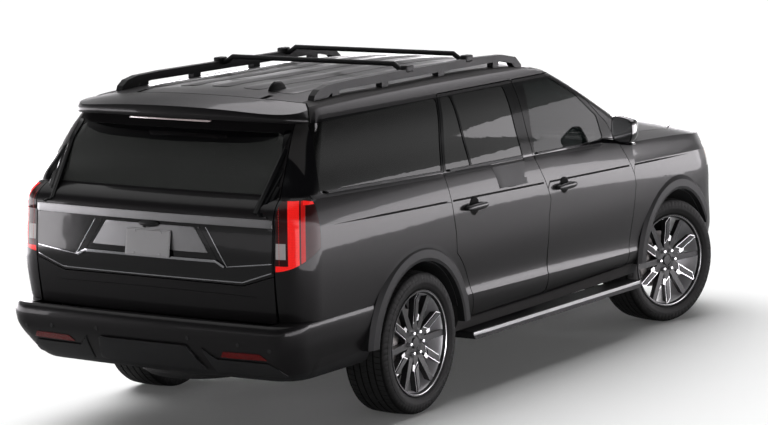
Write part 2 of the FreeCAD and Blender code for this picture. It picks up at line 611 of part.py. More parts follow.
side_low = low_side.cut(rear_door_region(HALF_GAP)).cut(front_door_region(HALF_GAP)).cut(gate_opening)
side_low = side_low.cut(lamp_box.cut(low[LAMP_DEPTH + 1]))
side_low = side_low.cut(zone_right.cut(low[SKIN_WALL + 1]))
side_low = side_low.cut(zone_right.common(loft(BUMPER_LEVELS)).cut(low[SKIN_WALL + 1]))
side_low = side_low.cut(box(-3200, from_rear(-900), -LAMP_INNER + 3, 0, 0, 760))
drop_swing = box(from_rear(DROP_HINGE_X) - DROP_REACH, from_rear(DROP_HINGE_X) + DROP_REACH, -DROP_HALF, 0,
                 GATE_WELL, DROP_HINGE_Z + DROP_REACH)
side_low = side_low.cut(drop_swing)
drop_pin = cylinder_y(DROP_PIN, from_rear(DROP_HINGE_X), -DROP_HALF - 2 * DROP_PIN, -drop_pin_reach + 20,
                      DROP_HINGE_Z)
drop_bracket = box(from_rear(DROP_HINGE_X) - DROP_PIN, from_rear(DROP_HINGE_X) + 5 * DROP_PIN,
                   -DROP_HALF - 3 * DROP_PIN, -DROP_HALF, DROP_HINGE_Z - 2 * DROP_PIN, DROP_HINGE_Z + 2 * DROP_PIN)
drop_pin = drop_pin.fuse(drop_bracket.common(low[SKIN_WALL + 1]))
nose_strip = side_low.common(box(from_rear(2450), from_rear(DASH_X) + 1, -1200, 0, DOOR_FOOT + HALF_GAP,
                                 FENDER_TAIL_TOP))
nose_strip = max(nose_strip.Solids, key=lambda solid: solid.BoundBox.XMax)
side_low = side_low.cut(box(from_rear(2450), from_rear(DASH_X) + 1, -1200, 0, DOOR_FOOT, FENDER_TAIL_TOP))
inner_low = half(low[DOOR_WALL].cut(lower_hull(DOOR_WALL + POST_DEEP)))
inner_high = half(house["inner"].cut(house_hull(FRAME_WALL + POST_DEEP, FRAME_WALL)))
sill_strip = inner_low.common(box(from_rear(DOOR_ARCH + 20), from_rear(DASH_X), -1100, 0, 398, 470))
cant_strip = inner_high.common(box(from_rear(300), from_rear(1950), -1100, -690, DOOR_TOP + 6, 1850))
post_low = half(lower_hull(DOOR_WALL + SEAL_GAP).cut(lower_hull(DOOR_WALL + POST_DEEP))).common(
    side_prism([(1390, 1400), (1500, 1400), (1600, 1060), (1600, 440), (1480, 440), (1480, 1060), (1390, 1320)], 0))
post_high = half(house_hull(FRAME_WALL + SEAL_GAP, FRAME_WALL).cut(house_hull(FRAME_WALL + POST_DEEP, FRAME_WALL)))
sealed_hull = lower_hull(DOOR_WALL + SEAL_GAP).fuse(house_hull(FRAME_WALL + SEAL_GAP, FRAME_WALL))
post_waist = box(from_rear(1390), from_rear(1480), -846, -806, 1300, 1480).common(sealed_hull)
post_high = joined([post_high.common(box(from_rear(1370), from_rear(1480), -1100, -600, 1348, 1840)), post_waist])
side_flare = rear_flare.cut(zone_right).cut(rear_door_region(HALF_GAP)).common(box(-3200, 3200, -1100, 0, 0, 2000))
side_low = joined([side_low, drop_pin, sill_strip, post_low, side_flare])
side_low = side_low.cut(arch_tool(REAR_AXLE, ARCH_RADIUS))
side_high = house_side.cut(rear_door_region(HALF_GAP)).cut(front_door_region(HALF_GAP)).cut(gate_opening)
side_high = side_high.cut(behind_seam(HALF_GAP, WING_FLOOR - HALF_GAP)).cut(roof_region(HALF_GAP))
side_high = side_high.cut(screen_region(0)).cut(side_prism(QUARTER_LIGHT, WINDOW_RADIUS))
body_side = joined([side_low, side_high, cant_strip, post_high])
body_side = Part.makeCompound([s for s in body_side.Solids if s.Volume > 2e5])
pair("body_side", body_side)
roof_panel = above_cowl.common(roof_region(-SEAT_GAP))
for slot_tool in arm_slots:
    roof_panel = roof_panel.cut(slot_tool)
parts["roof_panel"] = joined([roof_panel] + arm_pins)
parts["windscreen"] = glass_layer.common(screen_region(-SEAT_GAP))


print("front end")
nose_shell = nose_outer.cut(nose_hull(SKIN_WALL, SKIN_WALL))
HOOD_REAR, HOOD_REAR_MIDDLE, HOOD_TIP, HOOD_HALF, HOOD_LIP = 3085.0, 3112.0, 4176.0, 800.0, 1160.0
HOOD_FRONT_SIDE, HOOD_NOSE_HALF = 3990.0, 640.0
HOOD_HINGE_X, HOOD_HINGE_Z, HOOD_HINGE_Y = 3086.0, 1364.0, 200.0
COWL_DROP, COWL_THICK = 34.0, 20.0


def hood_region(by, floor=HOOD_LIP):
    """The bonnet seen from above: an arched rear edge, sides that close in, and an arched front edge."""
    corners = [(HOOD_REAR - by, -HOOD_HALF - by), (3600 + by, -HOOD_HALF - by),
               (HOOD_FRONT_SIDE + by, -HOOD_NOSE_HALF - by)]
    right = Part.makePolygon([V(from_rear(x), y, floor) for x, y in corners])
    left = Part.makePolygon([V(from_rear(x), -y, floor) for x, y in corners[::-1]])
    front = Part.Arc(right.Edges[-1].Vertexes[-1].Point, V(from_rear(HOOD_TIP + by), 0, floor),
                     left.Edges[0].Vertexes[0].Point).toShape()
    back = Part.Arc(left.Edges[-1].Vertexes[-1].Point, V(from_rear(HOOD_REAR_MIDDLE - by), 0, floor),
                    right.Edges[0].Vertexes[0].Point).toShape()
    return Part.Face(Part.Wire(right.Edges + [front] + left.Edges + [back])).extrude(V(0, 0, 400))


def behind_hood(by):
    """All that is behind the bonnet's rear edge, between the wings."""
    back = Part.Arc(V(from_rear(HOOD_REAR + by), HOOD_HALF + by, 1100), V(from_rear(HOOD_REAR_MIDDLE + by), 0, 1100),
                    V(from_rear(HOOD_REAR + by), -HOOD_HALF - by, 1100)).toShape()
    rest = Part.makePolygon([V(from_rear(x), y, 1100) for x, y in (
        (HOOD_REAR + by, -HOOD_HALF - by), (2600, -HOOD_HALF - by), (2600, HOOD_HALF + by),
        (HOOD_REAR + by, HOOD_HALF + by))])
    return Part.Face(Part.Wire([back] + rest.Edges)).extrude(V(0, 0, 600))


hood = nose_shell.common(hood_region(-HALF_GAP))
hood_ears, cowl_posts, ear_pockets = [], [], []
for side in (LEFT, RIGHT):
    x, z, round_end = from_rear(HOOD_HINGE_X), HOOD_HINGE_Z, HINGE_PIN + 5
    near, far = sorted((side * (HOOD_HINGE_Y - 8), side * (HOOD_HINGE_Y + 8)))
    ear = joined([box(x, x + 60, near, far, z - round_end, z + round_end), cylinder_y(round_end, x, near, far, z)])
    ear = ear.cut(cylinder_y(HINGE_PIN + SEAT_GAP, x, near - 1, far + 1, z))
    hood_ears.append(ear.common(nose_hull(6, 6)))
    ear_pockets.append(box(x - round_end - 6, x + 80, near - 5, far + 5, z - 60, z + 60))
    cowl_posts.append(cylinder_y(HINGE_PIN, x, near - 10, far + 10, z))
    for y0 in (near - 15, far + 5):
        cowl_posts.append(box(x - 12, x + 12, y0, y0 + 10, z - 30, z + 10))
parts["hood"] = joined([hood] + hood_ears)
HEADLAMP = [(-1100, 1140), (-640, 1168), (-575, 1120), (-575, 1060), (-640, 985), (-1100, 1000)]
HEADLAMP_REAR = 3880.0
GRILLE_FACE = [(-556, 1160), (556, 1160), (545, 985), (600, 830), (560, 735), (-560, 735), (-600, 830), (-545, 985)]
INTAKE_FACE = [(-640, 640), (640, 640), (560, 505), (-560, 505)]


def face_region(points, radii, x0, by=0.0):
    wire = rounded_wire([V(from_rear(x0), y, z) for y, z in grown(points, by)], radii)
    return Part.Face(wire).extrude(V(900, 0, 0))


def bars(y0, y1, heights, thick):
    return [box(from_rear(3700), FRONT_X + 50, y0, y1, z - thick / 2, z + thick / 2) for z in heights]


lamp_zone = face_region(HEADLAMP, 22, HEADLAMP_REAR)
lamp_cut = face_region(HEADLAMP, 22 + SEAT_GAP, HEADLAMP_REAR - SEAT_GAP, SEAT_GAP)
headlamp = nose_outer.cut(nose_hull(LAMP_DEPTH, LAMP_DEPTH)).common(lamp_zone)
parts["headlamps"] = Part.makeCompound([headlamp, mirrored(headlamp)])
FASCIA_SIDE = [(3740, 250), (4500, 250), (4500, 1240), (4060, 1240), (3880, 1150), (3880, 985), (3800, 760)]
fascia_zone = side_prism(FASCIA_SIDE, 0, 0, -1100, 1100)
hood_cut = hood_region(HALF_GAP)
grille_slab = nose_hull(10, 10).cut(nose_hull(44, 44))
grille_hole = face_region(GRILLE_FACE, 35, 3700)
frame_ring = grille_hole.cut(face_region(GRILLE_FACE, 22, 3700, -26))
mesh_bars = bars(-600, 600, [800, 865, 930, 995, 1060, 1120], 16)
upright_bars = [box(from_rear(3700), FRONT_X + 50, y - 7, y + 7, 735, 1160) for y in range(-480, 481, 160)]
grille = grille_slab.common(joined([frame_ring] + mesh_bars + upright_bars))
parts["grille"] = grille.common(face_region(GRILLE_FACE, 35, 3700, -SEAT_GAP))
intake = face_region(INTAKE_FACE, 25, 3700)
intake_bars = joined([intake.cut(face_region(INTAKE_FACE, 12, 3700, -18))] + bars(-640, 640, [550, 595], 14))
intake_grille = grille_slab.common(intake_bars).common(face_region(INTAKE_FACE, 25, 3700, -SEAT_GAP))
fascia = nose_shell.common(fascia_zone).cut(hood_cut).cut(lamp_cut).cut(mirrored(lamp_cut))
fascia = fascia.cut(grille_hole).cut(intake)
front_arches = [arch_tool(FRONT_AXLE, ARCH_RADIUS), mirrored(arch_tool(FRONT_AXLE, ARCH_RADIUS))]
for tool in front_arches:
    fascia = fascia.cut(tool)
parts["front_bumper"] = Part.makeCompound([s for s in fascia.Solids if s.Volume > 1e6] + intake_grille.Solids)
fascia_cut = side_prism(FASCIA_SIDE, 0, 1, -1100, 1100)
wings = nose_shell.cut(fascia_cut).cut(hood_cut).cut(lamp_cut).cut(mirrored(lamp_cut)).cut(house["outer"])
front_flare = flare(FRONT_AXLE).cut(fascia_cut)
wings = joined([wings, front_flare, mirrored(front_flare)])
for tool in front_arches:
    wings = wings.cut(tool)
for z0, z1 in ((0, DOOR_FOOT + HALF_GAP), (FENDER_TAIL_TOP, 2000)):
    wings = wings.cut(box(-3200, from_rear(DASH_X) + SEAT_GAP, -1200, 1200, z0, z1))
cowl = nose_hull(SKIN_WALL + SEAT_GAP, COWL_DROP).cut(nose_hull(SKIN_WALL + 30, COWL_DROP + COWL_THICK))
cowl = cowl.common(behind_hood(60)).cut(house_hull(-SEAT_GAP, -SEAT_GAP))
cowl = cowl.common(box(from_rear(2980), 3000, -HOOD_HALF, HOOD_HALF, 1200, 1600))
for pocket in ear_pockets:
    cowl = cowl.cut(pocket)
cowl_lip = nose_hull(SKIN_WALL - 6, SKIN_WALL - 6).cut(nose_hull(SKIN_WALL + 12, SKIN_WALL + 12))
cowl_ends = [cowl_lip.common(box(from_rear(3010), from_rear(HOOD_REAR - 20), y0, y1, 1200, 1600))
             for y0, y1 in ((-HOOD_HALF + SEAT_GAP, -770), (770, HOOD_HALF - SEAT_GAP))]
parts["cowl"] = joined([max(cowl.Solids, key=lambda solid: solid.Volume)] + cowl_posts + cowl_ends)
wings = wings.cut(behind_hood(0).common(box(from_rear(2980), 3000, -HOOD_HALF, HOOD_HALF, 1100, 1700)))
wings = joined([wings, nose_strip, mirrored(nose_strip)])
parts["front_fenders"] = Part.makeCompound([s for s in wings.Solids if s.Volume > 1e6])

print("running gear")
RAIL_WIDE, RAIL_TALL = 76.0, 130.0
RAIL_TOP = 560.0
ENGINE_HALF, HALF_SHAFT = 300.0, 24.0


def ladder_frame():
    """Two box rails that close in between the front wheels, with tubes and box members across."""
    pieces = []
    for side in (LEFT, RIGHT):
        path = [(-1190, 500), (2500, 500), (2850, 400), (4100, 400)]
        outer = [(from_rear(x), side * (y + RAIL_WIDE / 2)) for x, y in path]
        inner = [(from_rear(x), side * (y - RAIL_WIDE / 2)) for x, y in path[::-1]]
        face = Part.Face(polygon([(x, y, RAIL_TOP - RAIL_TALL) for x, y in outer + inner]))
        pieces.append(face.extrude(V(0, 0, RAIL_TALL)))
    for x, reach in ((-1160, 500), (-300, 500), (620, 500), (1500, 500), (2420, 500), (4060, 400)):
        pieces.append(box(from_rear(x) - 30, from_rear(x) + 30, -reach, reach, RAIL_TOP - 50, RAIL_TOP - 10))
    pieces.append(box(from_rear(3400), from_rear(3500), -400, 400, RAIL_TOP - 120, RAIL_TOP - 60))
    for side in (LEFT, RIGHT):
        y0, y1 = sorted((side * (ENGINE_HALF + SEAT_GAP), side * 430))
        pieces.append(box(from_rear(3420), from_rear(3500), y0, y1, RAIL_TOP - 20, 720))
    return joined(pieces).cut(cylinder_y(HALF_SHAFT + 10, REAR_AXLE, -600, 600, TYRE_RADIUS))


parts["chassis_frame"] = ladder_frame()
parts["engine_block"] = box(from_rear(3000), from_rear(3900), -ENGINE_HALF, ENGINE_HALF, 640, 1120)
FLOOR_Z, FLOOR_THICK = 590.0, 18.0
floor = low[DOOR_WALL].common(box(from_rear(-1130), from_rear(DASH_X) - 20, -1000, 1000, FLOOR_Z,
                                  FLOOR_Z + FLOOR_THICK))
floor = floor.common(lower_hull(DOOR_WALL + SEAT_GAP))
for side in (LEFT, RIGHT):
    well = cylinder_y(ARCH_RADIUS + 10, REAR_AXLE, 560, 1000, TYRE_RADIUS)
    floor = floor.cut(well if side == LEFT else mirrored(well))
floor = floor.cut(post_low).cut(mirrored(post_low))
firewall = box(from_rear(DASH_X) - 40, from_rear(DASH_X) - 15, -795, 795, FLOOR_Z, 1270)
rear_sill = box(from_rear(-1240), from_rear(-1129), -812, 812, RAIL_TOP + SEAT_GAP, GATE_WELL - 5).cut(
    box(-3200, from_rear(-1168), -900, 900, 620, 800))
rear_sill = rear_sill.common(low[SKIN_WALL + 1])
parts["floor_pan"] = joined([floor, firewall, rear_sill])

LINER, UPPER_LINK_Z = 6.0, 575.0


def liner(axle_x, inner_y):
    """A half-round shield over a wheel, closed on its inner side."""
    ring = cylinder_y(ARCH_RADIUS - SEAT_GAP, axle_x, inner_y, 975, TYRE_RADIUS).cut(
        cylinder_y(ARCH_RADIUS - SEAT_GAP - LINER, axle_x, inner_y + LINER, 976, TYRE_RADIUS))
    ring = ring.common(box(-3200, 3200, 0, 1000, RAIL_TOP + 5, 1100))
    return ring.cut(cylinder_y(20, REAR_AXLE, 0, 700, UPPER_LINK_Z))


rear_liner, front_liner = liner(REAR_AXLE, 570), liner(FRONT_AXLE, 470)
parts["wheel_liners"] = Part.makeCompound([rear_liner, mirrored(rear_liner), front_liner, mirrored(front_liner)])

KINGPIN_Y, KINGPIN_RADIUS, KINGPIN_FOOT, KINGPIN_TOP = 790.0, 30.0, 260.0, 590.0


def ring_profile(points, x, z):
    """A solid turned about an axle: points are (distance along the axle, radius)."""
    face = Part.Face(polygon([(x, y, z + r) for y, r in points]))
    return face.revolve(V(x, 0, z), V(0, 1, 0), 360)


def tyre(x, y):
    w = TYRE_WIDTH / 2
    outline = [(-w + 24, RIM_RADIUS - 6), (-w + 8, 340), (-w, 366), (-w + 4, 392), (-w + 22, 410),
               (-w + 50, TYRE_RADIUS - 1.5), (0, TYRE_RADIUS)]
    outline += [(-a, r) for a, r in outline[-2::-1]]
    return ring_profile([(y + a, r) for a, r in outline], x, TYRE_RADIUS)


def wheel(x, y, side):
    """Barrel with its flanges, hub, brake disc and twelve spokes near the outer face."""
    w = TYRE_WIDTH / 2
    r = RIM_RADIUS - 6 - SEAT_GAP
    barrel = ring_profile([(y + a, b) for a, b in (
        (-w + 16, r), (-w + 16, RIM_RADIUS), (-w + 11, RIM_RADIUS), (-w + 11, r - 12), (w - 60, r - 16),
        (w - 11, r - 8), (w - 11, RIM_RADIUS), (w - 16, RIM_RADIUS), (w - 16, r))], x, TYRE_RADIUS)
    face_y = y + side * (w - 30)
    hub = ring_profile([(face_y, 0), (face_y, 78), (face_y - side * 36, 84), (face_y - side * 70, 84),
                        (face_y - side * 70, 0)], x, TYRE_RADIUS)
    neck = cylinder_y(62, x, min(y - side * 20, face_y - side * 60), max(y - side * 20, face_y - side * 60),
                      TYRE_RADIUS)
    disc = cylinder_y(186, x, min(y - side * 20, y + side * 4), max(y - side * 20, y + side * 4), TYRE_RADIUS)
    spokes = []
    for i in range(12):
        angle = math.radians(30 * i + (9 if i % 2 else -9))
        spoke = box(x - 12, x + 12, min(face_y - side * 34, face_y), max(face_y - side * 34, face_y),
                    TYRE_RADIUS + 60, TYRE_RADIUS + r - 8)
        spokes.append(spoke.rotated(V(x, 0, TYRE_RADIUS), V(0, 1, 0), math.degrees(angle)))
    return joined([barrel, hub, neck, disc] + spokes)


def knuckle(x, side):
    """The steered upright: kingpin post, stub for the hub and the brake caliper."""
    k = side * KINGPIN_Y
    post = Part.makeCylinder(KINGPIN_RADIUS, KINGPIN_TOP - KINGPIN_FOOT, V(x, k, KINGPIN_FOOT))
    stub_y = side * (HALF_TRACK - 20 - SEAT_GAP)
    stub = cylinder_y(50, x, min(k - side * 30, stub_y), max(k - side * 30, stub_y), TYRE_RADIUS)
    y0, y1 = sorted((side * (HALF_TRACK - 22), side * (HALF_TRACK - 62)))
    plate = box(x - 130, x + 30, y0, y1, TYRE_RADIUS - 45, TYRE_RADIUS + 45)
    y0, y1 = sorted((side * (HALF_TRACK - 62), side * (HALF_TRACK + 28)))
    caliper = box(x - 235, x - 120, y0, y1, TYRE_RADIUS - 80, TYRE_RADIUS + 80).cut(
        cylinder_y(192, x, y0 + (40 if side == LEFT else 0), y1 - (0 if side == LEFT else 40), TYRE_RADIUS))
    arm = box(x - 200, x, min(k - side * 60, k), max(k - side * 60, k), 430, 460)
    return joined([post, stub, plate, caliper, arm])


def steered(shape, side):
    return shape.rotated(V(FRONT_AXLE, side * KINGPIN_Y, 0), V(0, 0, 1), STEER_AT_REST)


for side, word in ((RIGHT, "right"), (LEFT, "left")):
    y = side * HALF_TRACK
    parts["rear_tyre_" + word] = tyre(REAR_AXLE, y)
    parts["rear_wheel_" + word] = wheel(REAR_AXLE, y, side)
    parts["front_tyre_" + word] = steered(tyre(FRONT_AXLE, y), side)
    parts["front_wheel_" + word] = steered(wheel(FRONT_AXLE, y, side), side)
    parts["front_knuckle_" + word] = steered(knuckle(FRONT_AXLE, side), side)


def front_arms(side):
    """Upper and lower arms from the rail out to the kingpin's ends, with a spring over the lower one."""
    k = side * KINGPIN_Y
    pieces = []
    for z, reach in ((KINGPIN_FOOT - 24, 150), (KINGPIN_TOP + 24, 120)):
        for end in (-reach, reach):
            pieces.append(rod((FRONT_AXLE + end, side * 430, RAIL_TOP - (30 if z > 400 else 90)),
                              (FRONT_AXLE, k, z), 17))
    room = Part.makeCylinder(KINGPIN_RADIUS + 6, KINGPIN_TOP - KINGPIN_FOOT + 12, V(FRONT_AXLE, k, KINGPIN_FOOT - 6))
    joints = [Part.makeCylinder(22, 36, V(FRONT_AXLE, k, KINGPIN_FOOT - SEAT_GAP - 36)),
              Part.makeCylinder(22, 36, V(FRONT_AXLE, k, KINGPIN_TOP + SEAT_GAP))]
    return joined([joined(pieces).cut(room)] + joints).cut(parts["chassis_frame"])


def rear_axle():
    """The final drive on its mounts, with half shafts, uprights and arms, one welded group at rest."""
    casing = [(-170, 0), (-170, 60), (-60, 130), (60, 130), (170, 60), (170, 0)]
    pieces = [ring_profile(casing, REAR_AXLE, TYRE_RADIUS),
              box(REAR_AXLE - 60, REAR_AXLE + 60, -545, 545, 545, 590).cut(
                  box(-3200, 3200, -540, 540, 540, RAIL_TOP + SEAT_GAP)),
              box(REAR_AXLE - 40, REAR_AXLE + 40, -60, 60, 500, RAIL_TOP + 20)]
    for side in (LEFT, RIGHT):
        pieces.append(rod((REAR_AXLE, side * 150, TYRE_RADIUS), (REAR_AXLE, side * 780, TYRE_RADIUS), HALF_SHAFT))
        y0, y1 = sorted((side * 740, side * (HALF_TRACK - 20 - SEAT_GAP)))
        pieces.append(cylinder_y(52, REAR_AXLE, y0, y1, TYRE_RADIUS))
        y0, y1 = sorted((side * 740, side * 780))
        pieces.append(box(REAR_AXLE - 60, REAR_AXLE + 60, y0, y1, 270, 600))
        for x in (-140, 140):
            pieces.append(rod((REAR_AXLE + x, side * 120, 330), (REAR_AXLE + x / 4, side * 760, 300), 17))
        pieces.append(rod((REAR_AXLE, side * 540, UPPER_LINK_Z), (REAR_AXLE, side * 760, UPPER_LINK_Z), 14))
    pieces.append(box(REAR_AXLE - 160, REAR_AXLE + 160, -130, 130, 318, 345))
    return joined(pieces)


parts["rear_axle"] = rear_axle()
parts["front_suspension"] = Part.makeCompound([front_arms(RIGHT), front_arms(LEFT)])
SHAFT_Z = 440.0
parts["driveline"] = joined([rod((from_rear(140), 0, TYRE_RADIUS), (from_rear(1750), 0, SHAFT_Z), 40),
                             rod((from_rear(1740), 0, SHAFT_Z), (from_rear(2100), 0, SHAFT_Z), 60),
                             box(from_rear(2050), from_rear(2900), -150, 150, 340, RAIL_TOP - 50 - SEAT_GAP),
                             box(from_rear(2860), from_rear(3060), -120, 120, 440, 640 - SEAT_GAP)])
MUFFLER = (330.0, 1000.0)
PIPE, PIPE_Y = 34.0, -285.0
pipe_route = [(MUFFLER[0] + 10, PIPE_Y, 380), (170, PIPE_Y, 240), (-250, PIPE_Y, 240), (-520, -610, 330),
              (-1060, -640, 400)]
parts["exhaust"] = joined([box(from_rear(MUFFLER[0]), from_rear(MUFFLER[1]), -400, -170, 330, 430),
                           rod((from_rear(MUFFLER[1] - 10), PIPE_Y, 380), (from_rear(2350), PIPE_Y, 380), PIPE)] +
                          [rod((from_rear(a[0]), a[1], a[2]), (from_rear(b[0]), b[1], b[2]), PIPE)
                           for a, b in zip(pipe_route, pipe_route[1:])] +
                          [Part.makeSphere(PIPE, V(from_rear(x), y, z)) for x, y, z in pipe_route[1:-1]] +
                          [box(from_rear(800), from_rear(820), SEAT_GAP - 500 + RAIL_WIDE / 2, -395, 400, 470)])
parts["fuel_tank"] = box(from_rear(750), from_rear(1420), 80, 500 - RAIL_WIDE / 2 - SEAT_GAP, 330, 500)
spare = ring_profile([(-110, 200), (-110, 330), (-80, 372), (80, 372), (110, 330), (110, 200)], 0, 0)
spare_disc = ring_profile([(-110, 0), (-110, 205), (-90, 205), (-90, 0)], 0, 0)
spare = joined([spare, spare_disc]).rotated(V(0, 0, 0), V(1, 0, 0), 90)
SPARE_X = -1130 + 372 + SEAT_GAP
parts["spare_wheel"] = spare.translated(V(from_rear(SPARE_X), 0, 430))


print("cabin and fittings")


def rod_chain(points, radius):
    pieces = [rod(a, b, radius) for a, b in zip(points, points[1:])]
    pieces += [Part.makeSphere(radius, V(*p)) for p in points[1:-1]]
    return joined(pieces)


RAIL_SIDE = [(-630, 1850), (-606, 1902), (-560, 1932), (-460, 1950), (-200, 1958), (1200, 1960), (1520, 1950),
             (1690, 1922), (1787, 1850), (1690, 1850), (1640, 1888), (1540, 1906), (1440, 1912), (-330, 1910),
             (-440, 1898), (-520, 1850)]
RAIL_FEET = [-390.0, 140.0, 780.0, 1440.0]
RAIL_INNER, RAIL_OUTER = 646.0, 688.0
CROSSBARS = [418.0, 1116.0]


def roof_rack():
    """Two raised rails, each one bar on feet with its ends turned down to the roof, and two bars across."""
    pieces = []
    for side in (LEFT, RIGHT):
        y0, y1 = sorted((side * RAIL_INNER, side * RAIL_OUTER))
        pieces.append(rounded_prism([(from_rear(x), z) for x, z in RAIL_SIDE], 12, y0, y1))
        pieces += [box(from_rear(x) - 35, from_rear(x) + 35, y0, y1, 1850, 1930) for x in RAIL_FEET]
    for x in CROSSBARS:
        pieces.append(rod_chain([(from_rear(x), side_y, z) for side_y, z in (
            (-672, 1945), (-622, 1956), (-574, 1988), (574, 1988), (622, 1956), (672, 1945))], 15))
    return joined(pieces)


rack = roof_rack().cut(house_hull(-SEAT_GAP, -SEAT_GAP))
parts["roof_rack"] = max(rack.Solids, key=lambda solid: solid.Volume)
fin = Part.makeLoft([
    Part.Wire([Part.Ellipse(V(from_rear(-480), -350, z), a, b).toShape()]) for z, a, b in (
        (1880, 92, 30), (1925, 80, 22), (1960, 30, 8))], True, False)
parts["antenna_fin"] = fin.cut(house_hull(-SEAT_GAP, -SEAT_GAP))


def running_board():
    """A step under the doors with its three brackets to the frame rail."""
    board = rounded_prism([(from_rear(600), 340), (from_rear(2790), 318), (from_rear(2770), 366),
                           (from_rear(560), 389)], [15, 15, 10, 10], -1012, -868)
    for x in (800, 1650, 2450):
        back, front, rail_side = from_rear(x) - 30, from_rear(x) + 30, -500 - RAIL_WIDE / 2 - SEAT_GAP
        board = board.fuse(box(back, front, -900, rail_side, 340, 366))
        board = board.fuse(box(back, front, -560, rail_side, 340, 500))
    return board.removeSplitter()


step = running_board()
parts["running_boards"] = Part.makeCompound([step, mirrored(step)])


def dashboard():
    """The facia under the windscreen, with the steering column and wheel on the left."""
    face = rounded_prism([(from_rear(2330), 900), (from_rear(2680), 860), (from_rear(2680), 1275),
                          (from_rear(2420), 1265), (from_rear(2345), 1190)], [30, 10, 10, 60, 40], -840, 840)
    rim_centre = V(from_rear(2180), 390, 1130)
    tilt = V(-1, 0, 0.42)
    rim = Part.makeTorus(185, 14, rim_centre, tilt)
    column = rod(tuple(rim_centre), tuple(rim_centre - tilt * 220), 32)
    spokes = box(-24, 24, -180, 180, -14, 14).fuse(box(-180, 24, -20, 20, -14, 14))
    spokes.Placement = FreeCAD.Placement(rim_centre, FreeCAD.Rotation(V(0, 0, 1), tilt))
    console = box(from_rear(1350), from_rear(2380), -130, 130, FLOOR_Z + FLOOR_THICK + 0.3, 900)
    return joined([face, rim, column, spokes, console])


parts["dashboard"] = dashboard()
SEAT_FLOOR = FLOOR_Z + FLOOR_THICK


SEAT_BASE_HALF = 146.0


def seat_cushion(x, y, width, cushion_z=870.0):
    """The base and cushion of a seat: x is its front edge."""
    half_w = width / 2
    base = box(from_rear(x) - 430, from_rear(x) - 60, y - SEAT_BASE_HALF, y + SEAT_BASE_HALF, SEAT_FLOOR + SEAT_GAP,
               cushion_z - 110)
    cushion = rounded_prism([(from_rear(x) - 430, cushion_z - 130), (from_rear(x), cushion_z - 120),
                             (from_rear(x), cushion_z + 15), (from_rear(x) - 430, cushion_z - 5)],
                            [20, 40, 45, 20], y - half_w, y + half_w)
    return joined([base, cushion])


def seat_back(x, y, width, cushion_z=870.0):
    """The leaning back of the same seat, hinged on its cushion."""
    return rounded_prism([(from_rear(x) - 560, cushion_z - 130), (from_rear(x) - 430 - SEAT_GAP, cushion_z - 130),
                          (from_rear(x) - 430 - SEAT_GAP, cushion_z - 4),
                          (from_rear(x) - 600, cushion_z + 600), (from_rear(x) - 700, cushion_z + 590)],
                         [30, 1, 1, 40, 40], y - width / 2, y + width / 2)


def head_restraint(x, y, cushion_z=870.0):
    """The head restraint and its two posts, standing on the back."""
    rest = rounded_prism([(from_rear(x) - 690, cushion_z + 625), (from_rear(x) - 600, cushion_z + 625),
                          (from_rear(x) - 625, cushion_z + 800), (from_rear(x) - 705, cushion_z + 795)],
                         [20, 20, 35, 35], y - 130, y + 130)
    posts = [rod((from_rear(x) - 645, y + a, cushion_z + 596.5), (from_rear(x) - 652, y + a, cushion_z + 640), 7)
             for a in (-60, 60)]
    return joined([rest] + posts)


SEATS = [(1850, -400, 540, 870), (1850, 400, 540, 870), (910, -420, 560, 880), (910, 420, 560, 880),
         (-140, -365, 360, 890), (-140, 0, 340, 890), (-140, 365, 360, 890)]
parts["seat_cushions"] = Part.makeCompound([seat_cushion(*row) for row in SEATS])
parts["seat_backs"] = Part.makeCompound([seat_back(*row) for row in SEATS])
parts["head_restraints"] = Part.makeCompound([head_restraint(x, y, z) for x, y, width, z in SEATS])


def mirror_housing():
    """The door mirror: a short foot on the door, and a rounded housing."""
    shell_wires = []
    for x, dy, dz in ((2322, 0, 0), (2360, 0, 0), (2420, 12, 18), (2452, 40, 55)):
        corners = [V(from_rear(x), -1030 - dy / 2, 1312 + dz / 2), V(from_rear(x), -1190 + dy, 1318 + dz / 2),
                   V(from_rear(x), -1190 + dy, 1505 - dz), V(from_rear(x), -1030 - dy / 2, 1495 - dz)]
        shell_wires.append(rounded_wire(corners, [28, 40, 48, 30]))
    shell = Part.makeLoft(shell_wires, True, False)
    foot = box(from_rear(2360), from_rear(2430), -1060, -900, 1318, 1345)
    return joined([shell, foot])


mirror = mirror_housing()
mirror = mirror.cut(low[0.0]).cut(house["outer"])
mirror = max(mirror.Solids, key=lambda solid: solid.Volume)
pair("mirror", mirror)

os.makedirs("parts", exist_ok=True)
for old in os.listdir("parts"):
    if old.endswith(".step"):
        os.remove(os.path.join("parts", old))
for name, shape in parts.items():
    print(f"{name:24s} solids {len(shape.Solids)}  {shape.Volume / 1e6:9.1f} cm3  valid {shape.isValid()}")
    shape.exportStep(f"parts/{name}.step")
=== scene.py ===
"""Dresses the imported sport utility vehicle: finishes for its solids, tyres, wheels, trim, lamps, seats and a studio."""
import math

import bmesh
import bpy
from mathutils import Matrix, Vector
from mathutils.bvhtree import BVHTree


